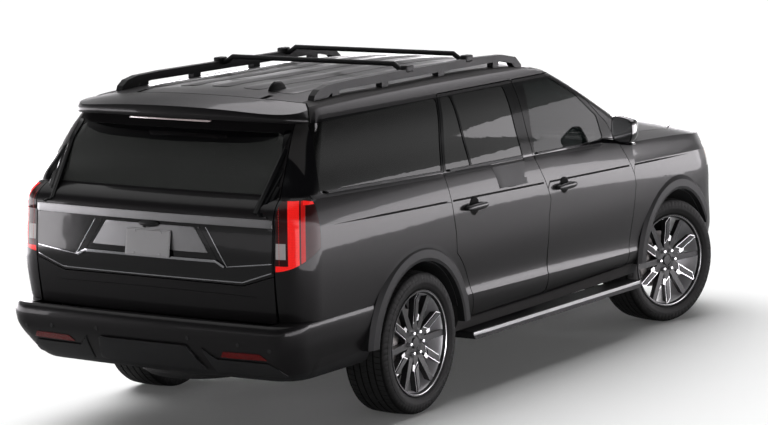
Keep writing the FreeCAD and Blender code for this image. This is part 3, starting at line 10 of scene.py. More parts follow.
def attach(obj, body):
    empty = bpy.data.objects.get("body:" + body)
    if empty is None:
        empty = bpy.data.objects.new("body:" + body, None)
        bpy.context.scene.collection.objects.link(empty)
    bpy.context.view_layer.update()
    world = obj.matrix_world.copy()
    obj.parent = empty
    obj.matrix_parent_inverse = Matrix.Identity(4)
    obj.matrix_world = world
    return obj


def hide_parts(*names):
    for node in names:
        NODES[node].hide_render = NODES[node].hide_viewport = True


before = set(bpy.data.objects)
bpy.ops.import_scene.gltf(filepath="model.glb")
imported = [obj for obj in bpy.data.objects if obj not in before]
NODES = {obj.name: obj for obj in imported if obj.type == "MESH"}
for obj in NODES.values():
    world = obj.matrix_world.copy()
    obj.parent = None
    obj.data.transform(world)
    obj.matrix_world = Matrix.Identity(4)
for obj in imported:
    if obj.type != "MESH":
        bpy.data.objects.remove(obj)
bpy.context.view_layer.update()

bl_info = {
    "name": "Sport Utility Vehicle",
    "version": (1, 0, 0),
    "blender": (4, 5, 0),
    "location": "View3D > Sidebar > Vehicle",
    "description": "Finishes, trim, wheels, lamps and seats around a packed vehicle, with a studio",
    "category": "Object",
}

MM = 0.001
REAR_AXLE_X = -1453.0
LEFT, RIGHT = 1, -1
SIDES = {RIGHT: "right", LEFT: "left"}


def at(x, y, z):
    """A point in metres from millimetres ahead of the rear axle, to the left, and up."""
    return Vector(((x + REAR_AXLE_X) * MM, y * MM, z * MM))


# Finishes

class Number:
    """A socket that carries a number, so that shader maths reads as an expression."""

    def __init__(self, finish, socket):
        self.finish, self.socket = finish, socket

    def maths(self, operation, *values, clamp=False):
        inputs = {i: value for i, value in enumerate(values)}
        made = self.finish.node("ShaderNodeMath", {"operation": operation, "use_clamp": clamp}, inputs)
        return Number(self.finish, made.outputs[0])

    def __add__(self, other):
        return self.maths("ADD", self, other)

    def __radd__(self, other):
        return self.maths("ADD", other, self)

    def __sub__(self, other):
        return self.maths("SUBTRACT", self, other)

    def __rsub__(self, other):
        return self.maths("SUBTRACT", other, self)

    def __mul__(self, other):
        return self.maths("MULTIPLY", self, other)

    def __rmul__(self, other):
        return self.maths("MULTIPLY", other, self)

    def __truediv__(self, other):
        return self.maths("DIVIDE", self, other)

    def __rtruediv__(self, other):
        return self.maths("DIVIDE", other, self)

    def above(self, level, soft=0.001):
        """Goes from 0 to 1 as the number passes a level."""
        settings = {"interpolation_type": "SMOOTHSTEP"}
        made = self.finish.node("ShaderNodeMapRange", settings,
                                {"Value": self, "From Min": level - soft, "From Max": level + soft})
        return Number(self.finish, made.outputs["Result"])

    def least(self, other):
        return self.maths("MINIMUM", self, other)

    def most(self, other):
        return self.maths("MAXIMUM", self, other)

    def size(self):
        return self.maths("ABSOLUTE", self)

    def sine(self):
        return self.maths("SINE", self)


class Finish:
    """A procedural material round one Principled shader, or a world."""

    def __init__(self, name, world=False, **sockets):
        holder = bpy.data.worlds.new(name) if world else bpy.data.materials.new(name)
        holder.use_nodes = True
        self.holder, self.tree = holder, holder.node_tree
        self.shader = self.tree.nodes.get("Background" if world else "Principled BSDF")
        for key, value in sockets.items():
            self.feed(key.replace("_", " ").title().replace("Ior", "IOR"), value)

    def node(self, kind, settings=None, inputs=None):
        """Adds a node: its settings first, then the values or links of its sockets."""
        made = self.tree.nodes.new(kind)
        for key, value in (settings or {}).items():
            if key == "stops":
                self.stops(made.color_ramp, value)
            else:
                setattr(made, key, value)
        for key, value in (inputs or {}).items():
            self.join(value, made.inputs[key])
        return made

    @staticmethod
    def stops(ramp, stops):
        while len(ramp.elements) < len(stops):
            ramp.elements.new(1.0)
        for element, (place, color) in zip(ramp.elements, stops):
            element.position, element.color = place, (*color, 1.0)

    def join(self, value, socket):
        if isinstance(value, Number):
            value = value.socket
        if isinstance(value, bpy.types.NodeSocket):
            self.tree.links.new(value, socket)
        else:
            socket.default_value = value

    def feed(self, socket, value):
        """Sets or links one of the shader's own sockets."""
        if socket in ("Base Color", "Emission Color", "Coat Tint", "Specular Tint") and isinstance(value, tuple):
            value = (*value, 1.0)
        self.join(value, self.shader.inputs[socket])

    def place(self):
        """The point on the object, as three numbers in metres."""
        if not hasattr(self, "split"):
            self.spot = self.node("ShaderNodeTexCoord").outputs["Object"]
            self.split = self.node("ShaderNodeSeparateXYZ", {}, {0: self.spot})
        return tuple(Number(self, self.split.outputs[i]) for i in range(3))

    def stretched(self, stretch):
        """The point with each direction scaled."""
        self.place()
        return self.node("ShaderNodeMapping", {}, {"Vector": self.spot, "Scale": stretch}).outputs[0]

    def noise(self, scale, detail=3.0, rough=0.5, stretch=(1, 1, 1)):
        inputs = {"Vector": self.stretched(stretch), "Scale": scale, "Detail": detail, "Roughness": rough}
        return Number(self, self.node("ShaderNodeTexNoise", {}, inputs).outputs["Fac"])

    def cells(self, scale, feature="F1", stretch=(1, 1, 1)):
        inputs = {"Vector": self.stretched(stretch), "Scale": scale}
        return Number(self, self.node("ShaderNodeTexVoronoi", {"feature": feature}, inputs).outputs["Distance"])

    def mixed(self, factor, first, second):
        """A colour between two."""
        made = self.node("ShaderNodeMix", {"data_type": "RGBA"})
        self.join(factor, made.inputs[0])
        for value, socket in ((first, made.inputs[6]), (second, made.inputs[7])):
            self.join((*value, 1.0) if isinstance(value, tuple) else value, socket)
        return made.outputs[2]

    def bump(self, height, depth):
        """Relief of a real depth in metres."""
        made = self.node("ShaderNodeBump", {}, {"Height": height, "Distance": depth, "Strength": 1.0})
        self.feed("Normal", made.outputs["Normal"])
        return self


def grained(name, color, rough, grain, depth, tint=0.15, scale=None, **sockets):
    """Moulded plastic: pebbled skin, colour and gloss that vary a little."""
    finish = Finish(name, **sockets)
    cloud = finish.noise(6.0, 4.0)
    pebble = finish.cells(grain)
    light = tuple(c * (1 + tint) + 0.002 for c in color)
    dark = tuple(c * (1 - tint) for c in color)
    finish.feed("Base Color", finish.mixed(cloud, dark, light))
    finish.feed("Roughness", rough - 0.05 + 0.1 * cloud)
    return finish.bump(pebble + 0.3 * finish.noise(grain * 0.4), depth)


PAINT_METAL, PAINT_COAT = 0.0, 0.08


def paint(name, color, fleck):
    """Dark metallic lacquer: fine flakes under a clear coat, with faint orange peel."""
    finish = Finish(name, coat_roughness=0.04, specular_ior_level=0.02)
    flakes = finish.cells(900.0)
    cloud = finish.noise(2.2, 3.0)
    bright = finish.mixed(flakes.above(0.55, 0.2), fleck, color)
    finish.feed("Base Color", finish.mixed(0.12 * cloud, bright, (0.0, 0.0, 0.0)))
    finish.feed("Roughness", 0.3 + 0.1 * flakes)
    finish.feed("Metallic", PAINT_METAL)
    finish.feed("Coat Weight", PAINT_COAT)
    return finish.bump(finish.noise(160.0, 2.0), 0.000004)


def body_paint(name, color, fleck, gloss=None, satin=None, lining=None):
    """The lacquer, with gloss black, satin black and lined regions of the same panel marked out by masks."""
    finish = paint(name, color, fleck)
    x, y, z = finish.place()
    gloss = gloss(x, y, z) if gloss else None
    satin = satin(x, y, z) if satin else None
    lining = lining(x, y, z) if lining else None
    if gloss is None and satin is None:
        return finish
    flakes = finish.cells(900.0)
    base, rough, metal, coat = (finish.shader.inputs[n].links[0].from_socket if finish.shader.inputs[n].links else None
                                for n in ("Base Color", "Roughness", "Metallic", "Coat Weight"))
    rough = Number(finish, rough)
    metal, coat = PAINT_METAL, PAINT_COAT
    if gloss is not None:
        base = finish.mixed(gloss, base, (0.004, 0.004, 0.0045))
        rough = rough * (1 - gloss) + 0.14 * gloss
        metal = metal * (1 - gloss)
        coat = coat * (1 - gloss) + 0.1 * gloss
    if satin is not None:
        base = finish.mixed(satin, base, (0.012, 0.012, 0.0125))
        rough = rough * (1 - satin) + (0.42 + 0.06 * flakes) * satin
        metal = metal * (1 - satin)
        coat = coat * (1 - satin)
    if lining is not None:
        base = finish.mixed(lining, base, (0.022, 0.021, 0.021))
        rough = rough * (1 - lining) + (0.55 + 0.1 * flakes) * lining
        metal = metal * (1 - lining)
        coat = coat * (1 - lining)
    finish.feed("Base Color", base)
    finish.feed("Roughness", rough)
    finish.feed("Metallic", metal)
    finish.feed("Coat Weight", coat)
    return finish


def inner_side(x, y, z):
    """The cabin side of the doors and body sides, well behind their skins."""
    lean = (z - 1.2).most(0.0)
    return (1 - (y.size() + 0.31 * lean).above(0.962, 0.003)) * x.above(-2.45)


def window_band(x, y, z):
    """The pillars and window frames between the belt and the roof rail."""
    return (z - (1.3444 - 0.0245 * x)).above(0.0) * (1 - z.above(1.789)) * (1 - x.above(0.3))


def door_band(x, y, z):
    return (z - (1.3444 - 0.0245 * x)).above(0.0) * (1 - z.above(1.789))


def arch_lips(x, y, z):
    """The flares round the wheel openings, and the valance under the bumpers."""
    down = (z - 0.419) * (z - 0.419)
    rear = (x + 1.453) * (x + 1.453) + down
    front = (x - 1.890) * (x - 1.890) + down
    near = 1 - rear.least(front).above(0.333, 0.0015)
    low = 1 - (z - (0.512 - 0.07 * (x.size() - 1.453))).above(0.0)
    return near.most(low * x.size().above(1.7))


def glass(name, color, alpha, specular=0.5):
    """Tinted safety glass with a faint unevenness from rolling."""
    finish = Finish(name, specular_ior_level=specular)
    cloud = finish.noise(1.5, 2.0)
    finish.feed("Base Color", finish.mixed(cloud, color, tuple(c * 1.3 for c in color)))
    finish.feed("Alpha", alpha + 0.02 * cloud)
    finish.feed("Roughness", 0.015 + 0.01 * cloud)
    return finish


def between(value, low, high, soft=0.0008):
    """1 where a number lies between two levels."""
    return value.above(low, soft) * (1 - value.above(high, soft))


def tail_lamp():
    """The tail lamp: a bright bar with a foot, a thin bar beside it, a clear window, and smoked lens round them."""
    lamp = Finish("lamp_red", emission_strength=0.42, coat_weight=0.03, coat_roughness=0.02, specular_ior_level=0.03)
    x, y, z = lamp.place()
    across = 0.8494 * y.size() + 0.5277 * (x + 1.453)
    ribs = (z * 700.0).sine()
    bar = between(across, 0.118, 0.181, 0.002) * between(z, 0.997, 1.4)
    foot = between(across, 0.030, 0.181) * between(z, 0.997, 1.041)
    thin = between(across, 0.190, 0.214, 0.001) * between(z, 1.02, 1.4)
    hook = between(across, 0.201, 0.262) * between(z, 1.366, 1.4)
    dots = between(across, 0.067, 0.0705, 0.0004) * (ribs * 0.5 + 0.5)
    bright = bar.most(foot).most(hook)
    dim = thin.most(dots * 0.8)
    clear = between(across, 0.050, 0.105) * between(z, 1.078, 1.164)
    depth = 0.72 + 0.28 * lamp.cells(150.0, "F1", (1, 1, 1)) + 0.1 * ribs
    smoked = lamp.mixed(lamp.noise(12.0), (0.02, 0.004, 0.004), (0.035, 0.008, 0.008))
    color = lamp.mixed(clear, smoked, (0.32, 0.3, 0.3))
    color = lamp.mixed(dim, color, (0.32, 0.006, 0.006))
    lamp.feed("Base Color", lamp.mixed(bright, color, (0.62, 0.012, 0.012)))
    glow = lamp.mixed(bright * depth, (0.0, 0.0, 0.0), (1.0, 0.018, 0.012))
    lamp.feed("Emission Color", lamp.mixed(dim * 0.45, glow, (1.0, 0.02, 0.015)))
    lamp.feed("Roughness", 0.12 + 0.08 * lamp.noise(40.0))
    return lamp.bump((bright.most(dim)) * 0.5 + 0.05 * ribs * bright, 0.002)


PROJECTORS = (0.690, 0.765, 0.840)


def head_lamp():
    """The headlamp: a light line round three sides, three round projectors and an amber marker behind clear lens."""
    lamp = Finish("lamp_clear", emission_strength=0.35, coat_weight=0.7, coat_roughness=0.02, specular_ior_level=0.3)
    x, y, z = lamp.place()
    y = y.size()
    line = between(z, 1.128, 1.144).most(between(z, 1.004, 1.018)).most(1 - y.above(0.628, 0.002))
    line = line * between(z, 1.004, 1.144) * (1 - y.above(0.915, 0.003))
    glass_disc, ring = 0.0, 0.0
    for centre in PROJECTORS:
        away = (y - centre) * (y - centre) + (z - 1.074) * (z - 1.074)
        disc, inner = 1 - away.above(0.034 ** 2, 0.00006), 1 - away.above(0.026 ** 2, 0.00005)
        glass_disc, ring = inner + glass_disc, (disc - inner) + ring
    amber = y.above(0.925, 0.002) * between(z, 1.03, 1.12)
    fins = between((z * 260.0).sine(), 0.3, 1.2, 0.1)
    house = lamp.mixed(fins, (0.006, 0.006, 0.0065), (0.035, 0.035, 0.037))
    color = lamp.mixed(ring, house, (0.55, 0.56, 0.58))
    color = lamp.mixed(glass_disc, color, (0.10, 0.12, 0.15))
    color = lamp.mixed(amber, color, (0.42, 0.11, 0.01))
    lamp.feed("Base Color", lamp.mixed(line, color, (0.8, 0.82, 0.85)))
    lamp.feed("Emission Color", lamp.mixed(line, (0.0, 0.0, 0.0), (0.9, 0.95, 1.0)))
    lamp.feed("Metallic", 0.8 * ring)
    lamp.feed("Roughness", 0.1 + 0.08 * lamp.noise(50.0))
    return lamp.bump(ring - 0.5 * glass_disc + 0.2 * fins, 0.002)


def metal(name, color, rough, stretch):
    """Worked metal: fine brushed or polished lines, and gloss that varies."""
    finish = Finish(name, metallic=0.9)
    lines = finish.noise(90.0, 4.0, 0.6, stretch)
    cloud = finish.noise(7.0)
    finish.feed("Base Color", finish.mixed(cloud, tuple(c * 0.85 for c in color), tuple(c * 1.15 for c in color)))
    finish.feed("Roughness", rough - 0.04 + 0.1 * lines)
    return finish.bump(lines, 0.00004)


FINISHES = {}


def make_finishes(props):
    """Every finish, by the name that the pieces use."""
    body = tuple(props.paint_color)
    fleck = tuple(c * 1.4 for c in body)
    made = {
        "paint_plain": body_paint("paint_plain", body, fleck),
        "paint": body_paint("paint", body, fleck, None, arch_lips),
        "paint_side": body_paint("paint_side", body, fleck, window_band, arch_lips, inner_side),
        "paint_door": body_paint("paint_door", body, fleck, door_band, None, inner_side),
        "satin_trim": metal("satin_trim", (0.055, 0.055, 0.056), 0.34, (0.3, 30, 30)),
        "dark_chrome": metal("dark_chrome", (0.12, 0.12, 0.125), 0.12, (1, 1, 1)),
        "bright_trim": metal("bright_trim", (0.12, 0.12, 0.122), 0.36, (0.3, 30, 30)),
        "machined": metal("machined", (0.40, 0.40, 0.41), 0.28, (1, 1, 1)),
        "barrel": metal("barrel", (0.45, 0.45, 0.46), 0.42, (1, 1, 1)),
        # Near-black painted shade: laid in the tyre's grooves and sipes, along the shoulder crease and in the door
        # handle scoops
        "groove": grained("groove", (0.002, 0.002, 0.002), 0.9, 400.0, 0.0002, specular_ior_level=0.02),
        "mirror_glass": metal("mirror_glass", (0.30, 0.305, 0.31), 0.06, (1, 1, 1)),
        "amber": grained("amber", (0.4, 0.1, 0.01), 0.2, 300.0, 0.0004),
        "plate": grained("plate", (0.04, 0.04, 0.041), 0.45, 900.0, 0.00005),
        "tyre_wall": grained("tyre_wall", (0.007, 0.007, 0.007), 0.58, 900.0, 0.00008, specular_ior_level=0.02),
        "black_plastic": grained("black_plastic", (0.012, 0.012, 0.0125), 0.5, 700.0, 0.00012, specular_ior_level=0.03),
        "interior": grained("interior", (0.03, 0.03, 0.031), 0.6, 500.0, 0.0002),
        "headliner": grained("headliner", (0.20, 0.20, 0.19), 0.9, 900.0, 0.0002),
        # Paler than the other tinted glass: its base colour is tint plus a painted reflection
        "rear_tint_painted_reflection": glass("rear_tint_painted_reflection", (0.026, 0.027, 0.026), 0.92, 0.3),
        "tinted_glass": glass("tinted_glass", (0.003, 0.003, 0.003), 0.95, 0.28),
        "clear_glass": glass("clear_glass", (0.006, 0.009, 0.0085), 0.86, 0.12),
        "tyre": grained("tyre", (0.017, 0.017, 0.017), 0.65, 400.0, 0.0002, specular_ior_level=0.03),
    }
    gloss = Finish("gloss_black", coat_weight=0.1, coat_roughness=0.03, specular_ior_level=0.08)
    gloss.feed("Base Color", gloss.mixed(gloss.noise(3.0), (0.0015, 0.0015, 0.0018), (0.003, 0.003, 0.0034)))
    gloss.feed("Roughness", 0.12 + 0.05 * gloss.noise(40.0))
    made["gloss_black"] = gloss
    steel = Finish("steel", metallic=0.6)
    steel.feed("Base Color", steel.mixed(steel.noise(9.0, 5.0), (0.02, 0.02, 0.021), (0.06, 0.055, 0.05)))
    steel.feed("Roughness", 0.45 + 0.2 * steel.noise(30.0))
    made["steel"] = steel.bump(steel.noise(120.0), 0.0001)
    cast = Finish("cast_metal", metallic=0.8)
    cast.feed("Base Color", cast.mixed(cast.noise(12.0, 5.0), (0.12, 0.12, 0.12), (0.22, 0.21, 0.2)))
    cast.feed("Roughness", 0.5 + 0.2 * cast.noise(50.0))
    made["cast_metal"] = cast.bump(cast.noise(300.0, 5.0), 0.0004)
    alloy = Finish("alloy", metallic=0.1, coat_weight=0.06, specular_ior_level=0.1)
    alloy.feed("Base Color", alloy.mixed(alloy.noise(20.0), (0.008, 0.008, 0.0085), (0.014, 0.014, 0.0145)))
    alloy.feed("Roughness", 0.3 + 0.08 * alloy.noise(80.0))
    made["alloy"] = alloy
    leather = Finish("leather")
    leather.feed("Base Color", leather.mixed(leather.noise(14.0, 4.0), (0.012, 0.012, 0.013), (0.024, 0.023, 0.023)))
    leather.feed("Roughness", 0.42 + 0.14 * leather.noise(30.0))
    made["leather"] = leather.bump(leather.cells(420.0, "SMOOTH_F1") + 0.4 * leather.noise(900.0), 0.0004)
    carpet = Finish("carpet")
    carpet.feed("Base Color", carpet.mixed(carpet.noise(350.0, 4.0), (0.008, 0.008, 0.008), (0.03, 0.03, 0.03)))
    carpet.feed("Roughness", 0.95)
    made["carpet"] = carpet.bump(carpet.noise(700.0, 2.0), 0.002)
    made["lamp_red"] = tail_lamp()
    made["lamp_clear"] = head_lamp()
    pale = Finish("lamp_pale", coat_weight=0.5)
    pale.feed("Base Color", pale.mixed(pale.cells(150.0), (0.42, 0.36, 0.36), (0.3, 0.22, 0.22)))
    pale.feed("Roughness", 0.2 + 0.1 * pale.noise(60.0))
    made["lamp_pale"] = pale
    reflector = Finish("reflector", coat_weight=0.06, specular_ior_level=0.05)
    prisms = reflector.cells(240.0, "F1")
    reflector.feed("Base Color", reflector.mixed(prisms, (0.11, 0.002, 0.002), (0.03, 0.001, 0.001)))
    reflector.feed("Roughness", 0.25)
    made["reflector"] = reflector.bump(prisms, 0.0012)
    for key, finish in made.items():
        FINISHES[key] = finish.holder


CAD_FINISH = {
    "steel": ["chassis_frame", "driveline", "exhaust", "fuel_tank", "rear_axle", "front_suspension", "cowl",
              "floor_pan"],
    "cast_metal": ["engine_block", "front_knuckle_right", "front_knuckle_left"],
    "tyre": ["spare_wheel", "front_tyre_right", "front_tyre_left", "rear_tyre_right", "rear_tyre_left"],
    "alloy": ["front_wheel_right", "front_wheel_left", "rear_wheel_right", "rear_wheel_left"],
    "paint": ["roof_panel", "front_fenders", "front_bumper", "rear_bumper", "hood", "liftgate", "drop_gate",
              "antenna_fin"],
    "paint_side": ["body_side_left", "body_side_right"],
    "paint_door": ["front_door_right", "front_door_left", "rear_door_right", "rear_door_left"],
    "clear_glass": ["windscreen", "front_door_glass_right", "front_door_glass_left"],
    "tinted_glass": ["quarter_glass", "rear_door_glass_right", "rear_door_glass_left"],
    "rear_tint_painted_reflection": ["rear_glass"],
    "gloss_black": ["grille", "mirror_right", "mirror_left"],
    "black_plastic": ["roof_rack", "running_boards", "wheel_liners"],
    "lamp_clear": ["headlamps"],
    "lamp_red": ["tail_lamps"],
    "interior": ["dashboard"],
    "leather": ["seat_cushions", "seat_backs", "head_restraints"],
}


def finish_node(node, key):
    mesh = NODES[node].data
    mesh.materials.clear()
    mesh.materials.append(FINISHES[key])


# Modelling helpers

class Skin:
    """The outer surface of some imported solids, to lay trim on."""

    def __init__(self, *nodes):
        bm = bmesh.new()
        for node in nodes:
            bm.from_mesh(NODES[node].data)
        self.tree = BVHTree.FromBMesh(bm)
        bm.free()

    def drop(self, point, look):
        """Where a line that comes from outside along look first meets the surface."""
        hit = self.tree.ray_cast(point - 2 * look, look)[0]
        return hit if hit else self.tree.find_nearest(point - 2 * look)[0]


def new_piece(name, bm, finishes, body, sharp=35.0):
    """Turns a bmesh into a smooth piece that rides on a body."""
    bmesh.ops.recalc_face_normals(bm, faces=bm.faces)
    mesh = bpy.data.meshes.new(name)
    bm.to_mesh(mesh)
    bm.free()
    for key in [finishes] if isinstance(finishes, str) else finishes:
        mesh.materials.append(FINISHES[key])
    mesh.shade_smooth()
    mesh.set_sharp_from_angle(angle=math.radians(sharp))
    piece = bpy.data.objects.new(name, mesh)
    bpy.context.scene.collection.objects.link(piece)
    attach(piece, body)
    return piece


def rounded(points, radius, steps=3):
    """A closed outline with its corners rounded."""
    made = []
    for i, corner in enumerate(points):
        before, after = points[i - 1], points[(i + 1) % len(points)]
        reach = min(radius, (before - corner).length * 0.45, (after - corner).length * 0.45)
        a = corner + (before - corner).normalized() * reach
        b = corner + (after - corner).normalized() * reach
        for k in range(steps + 1):
            t = k / steps
            made.append(a * (1 - t) ** 2 + corner * 2 * t * (1 - t) + b * t * t)
    return made


def ribbon(path, look, widths):
    """The outline of a band along a path, seen along look."""
    near, far = [], []
    for i, point in enumerate(path):
        run = path[min(i + 1, len(path) - 1)] - path[max(i - 1, 0)]
        width = widths[i] if isinstance(widths, (list, tuple)) else widths
        across = run.cross(look).normalized() * width / 2
        near.append(point + across)
        far.append(point - across)
    return near + far[::-1]


def slice_up(bm, look, step):
    """Cuts flat faces into squares, so that they can follow a curved surface."""
    for axis in (Vector((1, 0, 0)), Vector((0, 1, 0)), Vector((0, 0, 1))):
        if abs(axis.dot(look)) > 0.7:
            continue
        places = [v.co.dot(axis) for v in bm.verts]
        low, high = min(places), max(places)
        count = int((high - low) / step)
        for i in range(1, count + 1):
            bmesh.ops.bisect_plane(bm, geom=bm.verts[:] + bm.edges[:] + bm.faces[:],
                                   plane_co=axis * (low + (high - low) * i / (count + 1)), plane_no=axis)


def cover(name, skin, outline, look, lift, sink, finish, body, step=0.02, edge=0.0012):
    """A thin panel of a given outline that lies on a surface, standing proud by lift and let in by sink."""
    bm = bmesh.new()
    bm.faces.new([bm.verts.new(p) for p in outline])
    slice_up(bm, look, step)
    for vert in bm.verts:
        vert.co = skin.drop(vert.co, look)
    made = bmesh.ops.extrude_face_region(bm, geom=bm.faces[:])["geom"]
    front = {f for f in made if isinstance(f, bmesh.types.BMFace)}
    raised = {v for f in front for v in f.verts}
    for vert in bm.verts:
        proud = lift(vert.co) if callable(lift) else lift
        vert.co += look * (-proud if vert in raised else sink)
    rim = [e for e in bm.edges if len([f for f in e.link_faces if f in front]) == 1]
    if edge:
        bmesh.ops.bevel(bm, geom=rim, offset=edge, segments=2, profile=0.5, affect="EDGES", material=-1)
    return new_piece(name, bm, finish, body)


def turned(bm, profile, segments=96):
    """Spins a closed (across, radius) profile round the axle, and joins its ends."""
    verts = [bm.verts.new((0.0, y, r)) for y, r in profile]
    edges = [bm.edges.new((a, b)) for a, b in zip(verts, verts[1:] + verts[:1])]
    bmesh.ops.spin(bm, geom=verts + edges, cent=(0, 0, 0), axis=(0, 1, 0), angle=math.tau, steps=segments,
                   use_merge=True)


BACKWARDS = Vector((1, 0, 0))


def tail(y, z):
    return Vector((-1.6, y * MM, z * MM))


def both_halves(points):
    """An outline given for the right half, from the middle outwards, closed by its mirror image."""
    return [tail(y, z) for y, z in points] + [tail(-y, z) for y, z in points[::-1]]


# The operators and what they hold

class VehicleColors(bpy.types.PropertyGroup):
    """Colours that a user would change."""

    paint_color: bpy.props.FloatVectorProperty(
        name="Paint", description="Colour of the lacquer under its clear coat", subtype="COLOR", size=3,
        default=(0.0062, 0.0058, 0.0062), min=0.0, max=1.0)


class VehicleStage(bpy.types.PropertyGroup):
    """Sizes of the studio."""

    floor_radius: bpy.props.FloatProperty(
        name="Floor radius", description="Distance from the vehicle to the edge of the floor", default=90.0,
        min=5.0, unit="LENGTH")


class FinishSolids(bpy.types.Operator):
    """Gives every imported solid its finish"""

    bl_idname = "vehicle.finish_solids"
    bl_label = "Finish Solids"

    def execute(self, context):
        make_finishes(context.scene.vehicle_colors)
        for key, nodes in CAD_FINISH.items():
            for node in nodes:
                if node in NODES:
                    finish_node(node, key)
        bare = [n for n, o in NODES.items() if not o.data.materials]
        if bare:
            raise RuntimeError(f"no finish for {bare}")
        return {"FINISHED"}


class DressTail(bpy.types.Operator):
    """Adds the tailgate's panel, trim lines, blank plate, glass band and high brake lamp"""

    bl_idname = "vehicle.dress_tail"
    bl_label = "Dress Tail"

    def execute(self, context):
        gate = Skin("liftgate", "rear_glass")
        strip = [tail(-804, 1290), tail(804, 1290), tail(804, 1245), tail(-804, 1245)]
        cover("tail_strip", gate, strip, BACKWARDS, lambda p: 0.002 + 0.16 * (1.290 - p.z), 0.002, "satin_trim",
              "liftgate")
        panel = both_halves([(-10, 933), (-612, 933), (-803, 997), (-803, 1243), (-10, 1243)])
        cover("tail_panel", gate, panel, BACKWARDS, 0.004, 0.002, "gloss_black", "liftgate")
        inset = rounded([tail(-302, 1224), tail(302, 1224), tail(396, 1087), tail(-396, 1087)], 0.006)
        cover("tail_inset", gate, inset, BACKWARDS, 0.0065, 0.0, "satin_trim", "liftgate")
        for side, word in SIDES.items():
            frame_line = [tail(side * y, z) for y, z in ((379, 1228), (518, 1018), (620, 1030), (800, 1051))]
            cover(f"tail_line_{word}", gate, ribbon(frame_line, BACKWARDS, 0.006), BACKWARDS, 0.007, 0.0, "dark_chrome",
                  "liftgate", 0.02, 0.001)
            inner_line = [tail(side * y, z) for y, z in ((330, 1228), (480, 1010))]
            cover(f"tail_inner_line_{word}", gate, ribbon(inner_line, BACKWARDS, 0.008), BACKWARDS, 0.0055, 0.0,
                  "gloss_black", "liftgate", 0.02, 0.001)
            blade = [tail(side * y, z) for y, z in ((690, 1742), (745, 1742), (838, 1400), (780, 1400))]
            cover(f"glass_blade_{word}", gate, rounded(blade, 0.012), BACKWARDS, 0.007, 0.002, "gloss_black", "liftgate",
                  0.02, 0.003)
        ledge = [tail(y, z) for y, z in ((-505, 1016), (-450, 1046), (450, 1046), (505, 1016))]
        cover("tail_ledge", gate, ribbon(ledge, BACKWARDS, 0.014), BACKWARDS, 0.016, 0.0, "dark_chrome", "liftgate",
              0.02, 0.003)
        foot = [tail(y, z) for y, z in ((-800, 1001), (-613, 937), (613, 937), (800, 1001))]
        cover("tail_foot_line", gate, ribbon(foot, BACKWARDS, 0.006), BACKWARDS, 0.006, 0.0, "dark_chrome", "liftgate")
        band = both_halves([(-10, 1657), (-459, 1666), (-560, 1677), (-640, 1698), (-680, 1722), (-680, 1726),
                            (-10, 1726)])
        cover("glass_band", Skin("rear_glass"), band, BACKWARDS, 0.0015, 0.0, "gloss_black", "liftgate", 0.02, 0.0)
        lower = Skin("drop_gate")
        crease = [tail(y, 861 - 0.004 * abs(y)) for y in range(-690, 691, 60)]
        cover("gate_crease", lower, ribbon(crease, BACKWARDS, [0.002 + 0.012 * (1 - (abs(p.y) / 0.7) ** 2) for p in
                                                               crease]),
              BACKWARDS, lambda p: 0.0035, 0.001, "paint", "drop_gate", 0.02, 0.001)
        blank_plate()
        gate_camera()
        high_lamp()
        return {"FINISHED"}


def blank_plate():
    """A plain plate, tilted back, with an embossed edge and four screws."""
    bm = bmesh.new()
    outline = [Vector((0, y * MM, z * MM)) for y, z in ((-152, -76), (152, -76), (152, 76), (-152, 76))]
    face = bm.faces.new([bm.verts.new(p) for p in rounded(outline, 0.012)])
    bmesh.ops.extrude_face_region(bm, geom=[face])
    back = [v for v in bm.verts][:len(face.verts)]
    bmesh.ops.translate(bm, verts=back, vec=(0.003, 0, 0))
    front = min(bm.faces, key=lambda f: f.calc_center_median().x if len(f.verts) > 8 else 9)
    rim = bmesh.ops.inset_region(bm, faces=[front], thickness=0.006, depth=0.0)
    bmesh.ops.inset_region(bm, faces=[front], thickness=0.002, depth=-0.0014)
    for y in (-89, 89):
        for z in (-61, 61):
            made = bmesh.ops.create_uvsphere(bm, u_segments=16, v_segments=8, radius=0.006)["verts"]
            bmesh.ops.scale(bm, verts=made, vec=(0.4, 1, 1))
            bmesh.ops.translate(bm, verts=made, vec=(-0.001, y * MM, z * MM))
    bracket = bmesh.ops.create_cube(bm, size=1.0)["verts"]
    bmesh.ops.scale(bm, verts=bracket, vec=(0.028, 0.27, 0.11))
    bmesh.ops.translate(bm, verts=bracket, vec=(0.0175, 0, 0))
    bmesh.ops.rotate(bm, verts=bm.verts, matrix=Matrix.Rotation(0.152, 3, "Y"))
    bmesh.ops.translate(bm, verts=bm.verts, vec=at(-1278, 0, 1120))
    new_piece("blank_plate", bm, "plate", "liftgate")


def gate_camera():
    """The handle recess and camera above the plate."""
    bm = bmesh.new()
    made = bmesh.ops.create_uvsphere(bm, u_segments=32, v_segments=16, radius=1.0)["verts"]
    bmesh.ops.scale(bm, verts=made, vec=(0.028, 0.068, 0.02))
    lens = bmesh.ops.create_cone(bm, cap_ends=True, segments=24, radius1=0.011, radius2=0.009, depth=0.016)["verts"]
    bmesh.ops.rotate(bm, verts=lens, matrix=Matrix.Rotation(math.radians(200), 3, "Y"))
    bmesh.ops.translate(bm, verts=lens, vec=(-0.014, 0.02, -0.014))
    bmesh.ops.translate(bm, verts=bm.verts, vec=at(-1262, 0, 1226))
    new_piece("gate_camera", bm, "black_plastic", "liftgate")


def high_lamp():
    """The brake lamp in the lip of the spoiler."""
    bm = bmesh.new()
    made = bmesh.ops.create_cube(bm, size=1.0)["verts"]
    bmesh.ops.scale(bm, verts=made, vec=(0.03, 0.54, 0.01))
    bmesh.ops.bevel(bm, geom=bm.edges[:], offset=0.003, segments=3, profile=0.5, affect="EDGES", material=-1)
    bmesh.ops.translate(bm, verts=bm.verts, vec=at(-1034, 0, 1786))
    new_piece("high_lamp", bm, "lamp_pale", "liftgate")


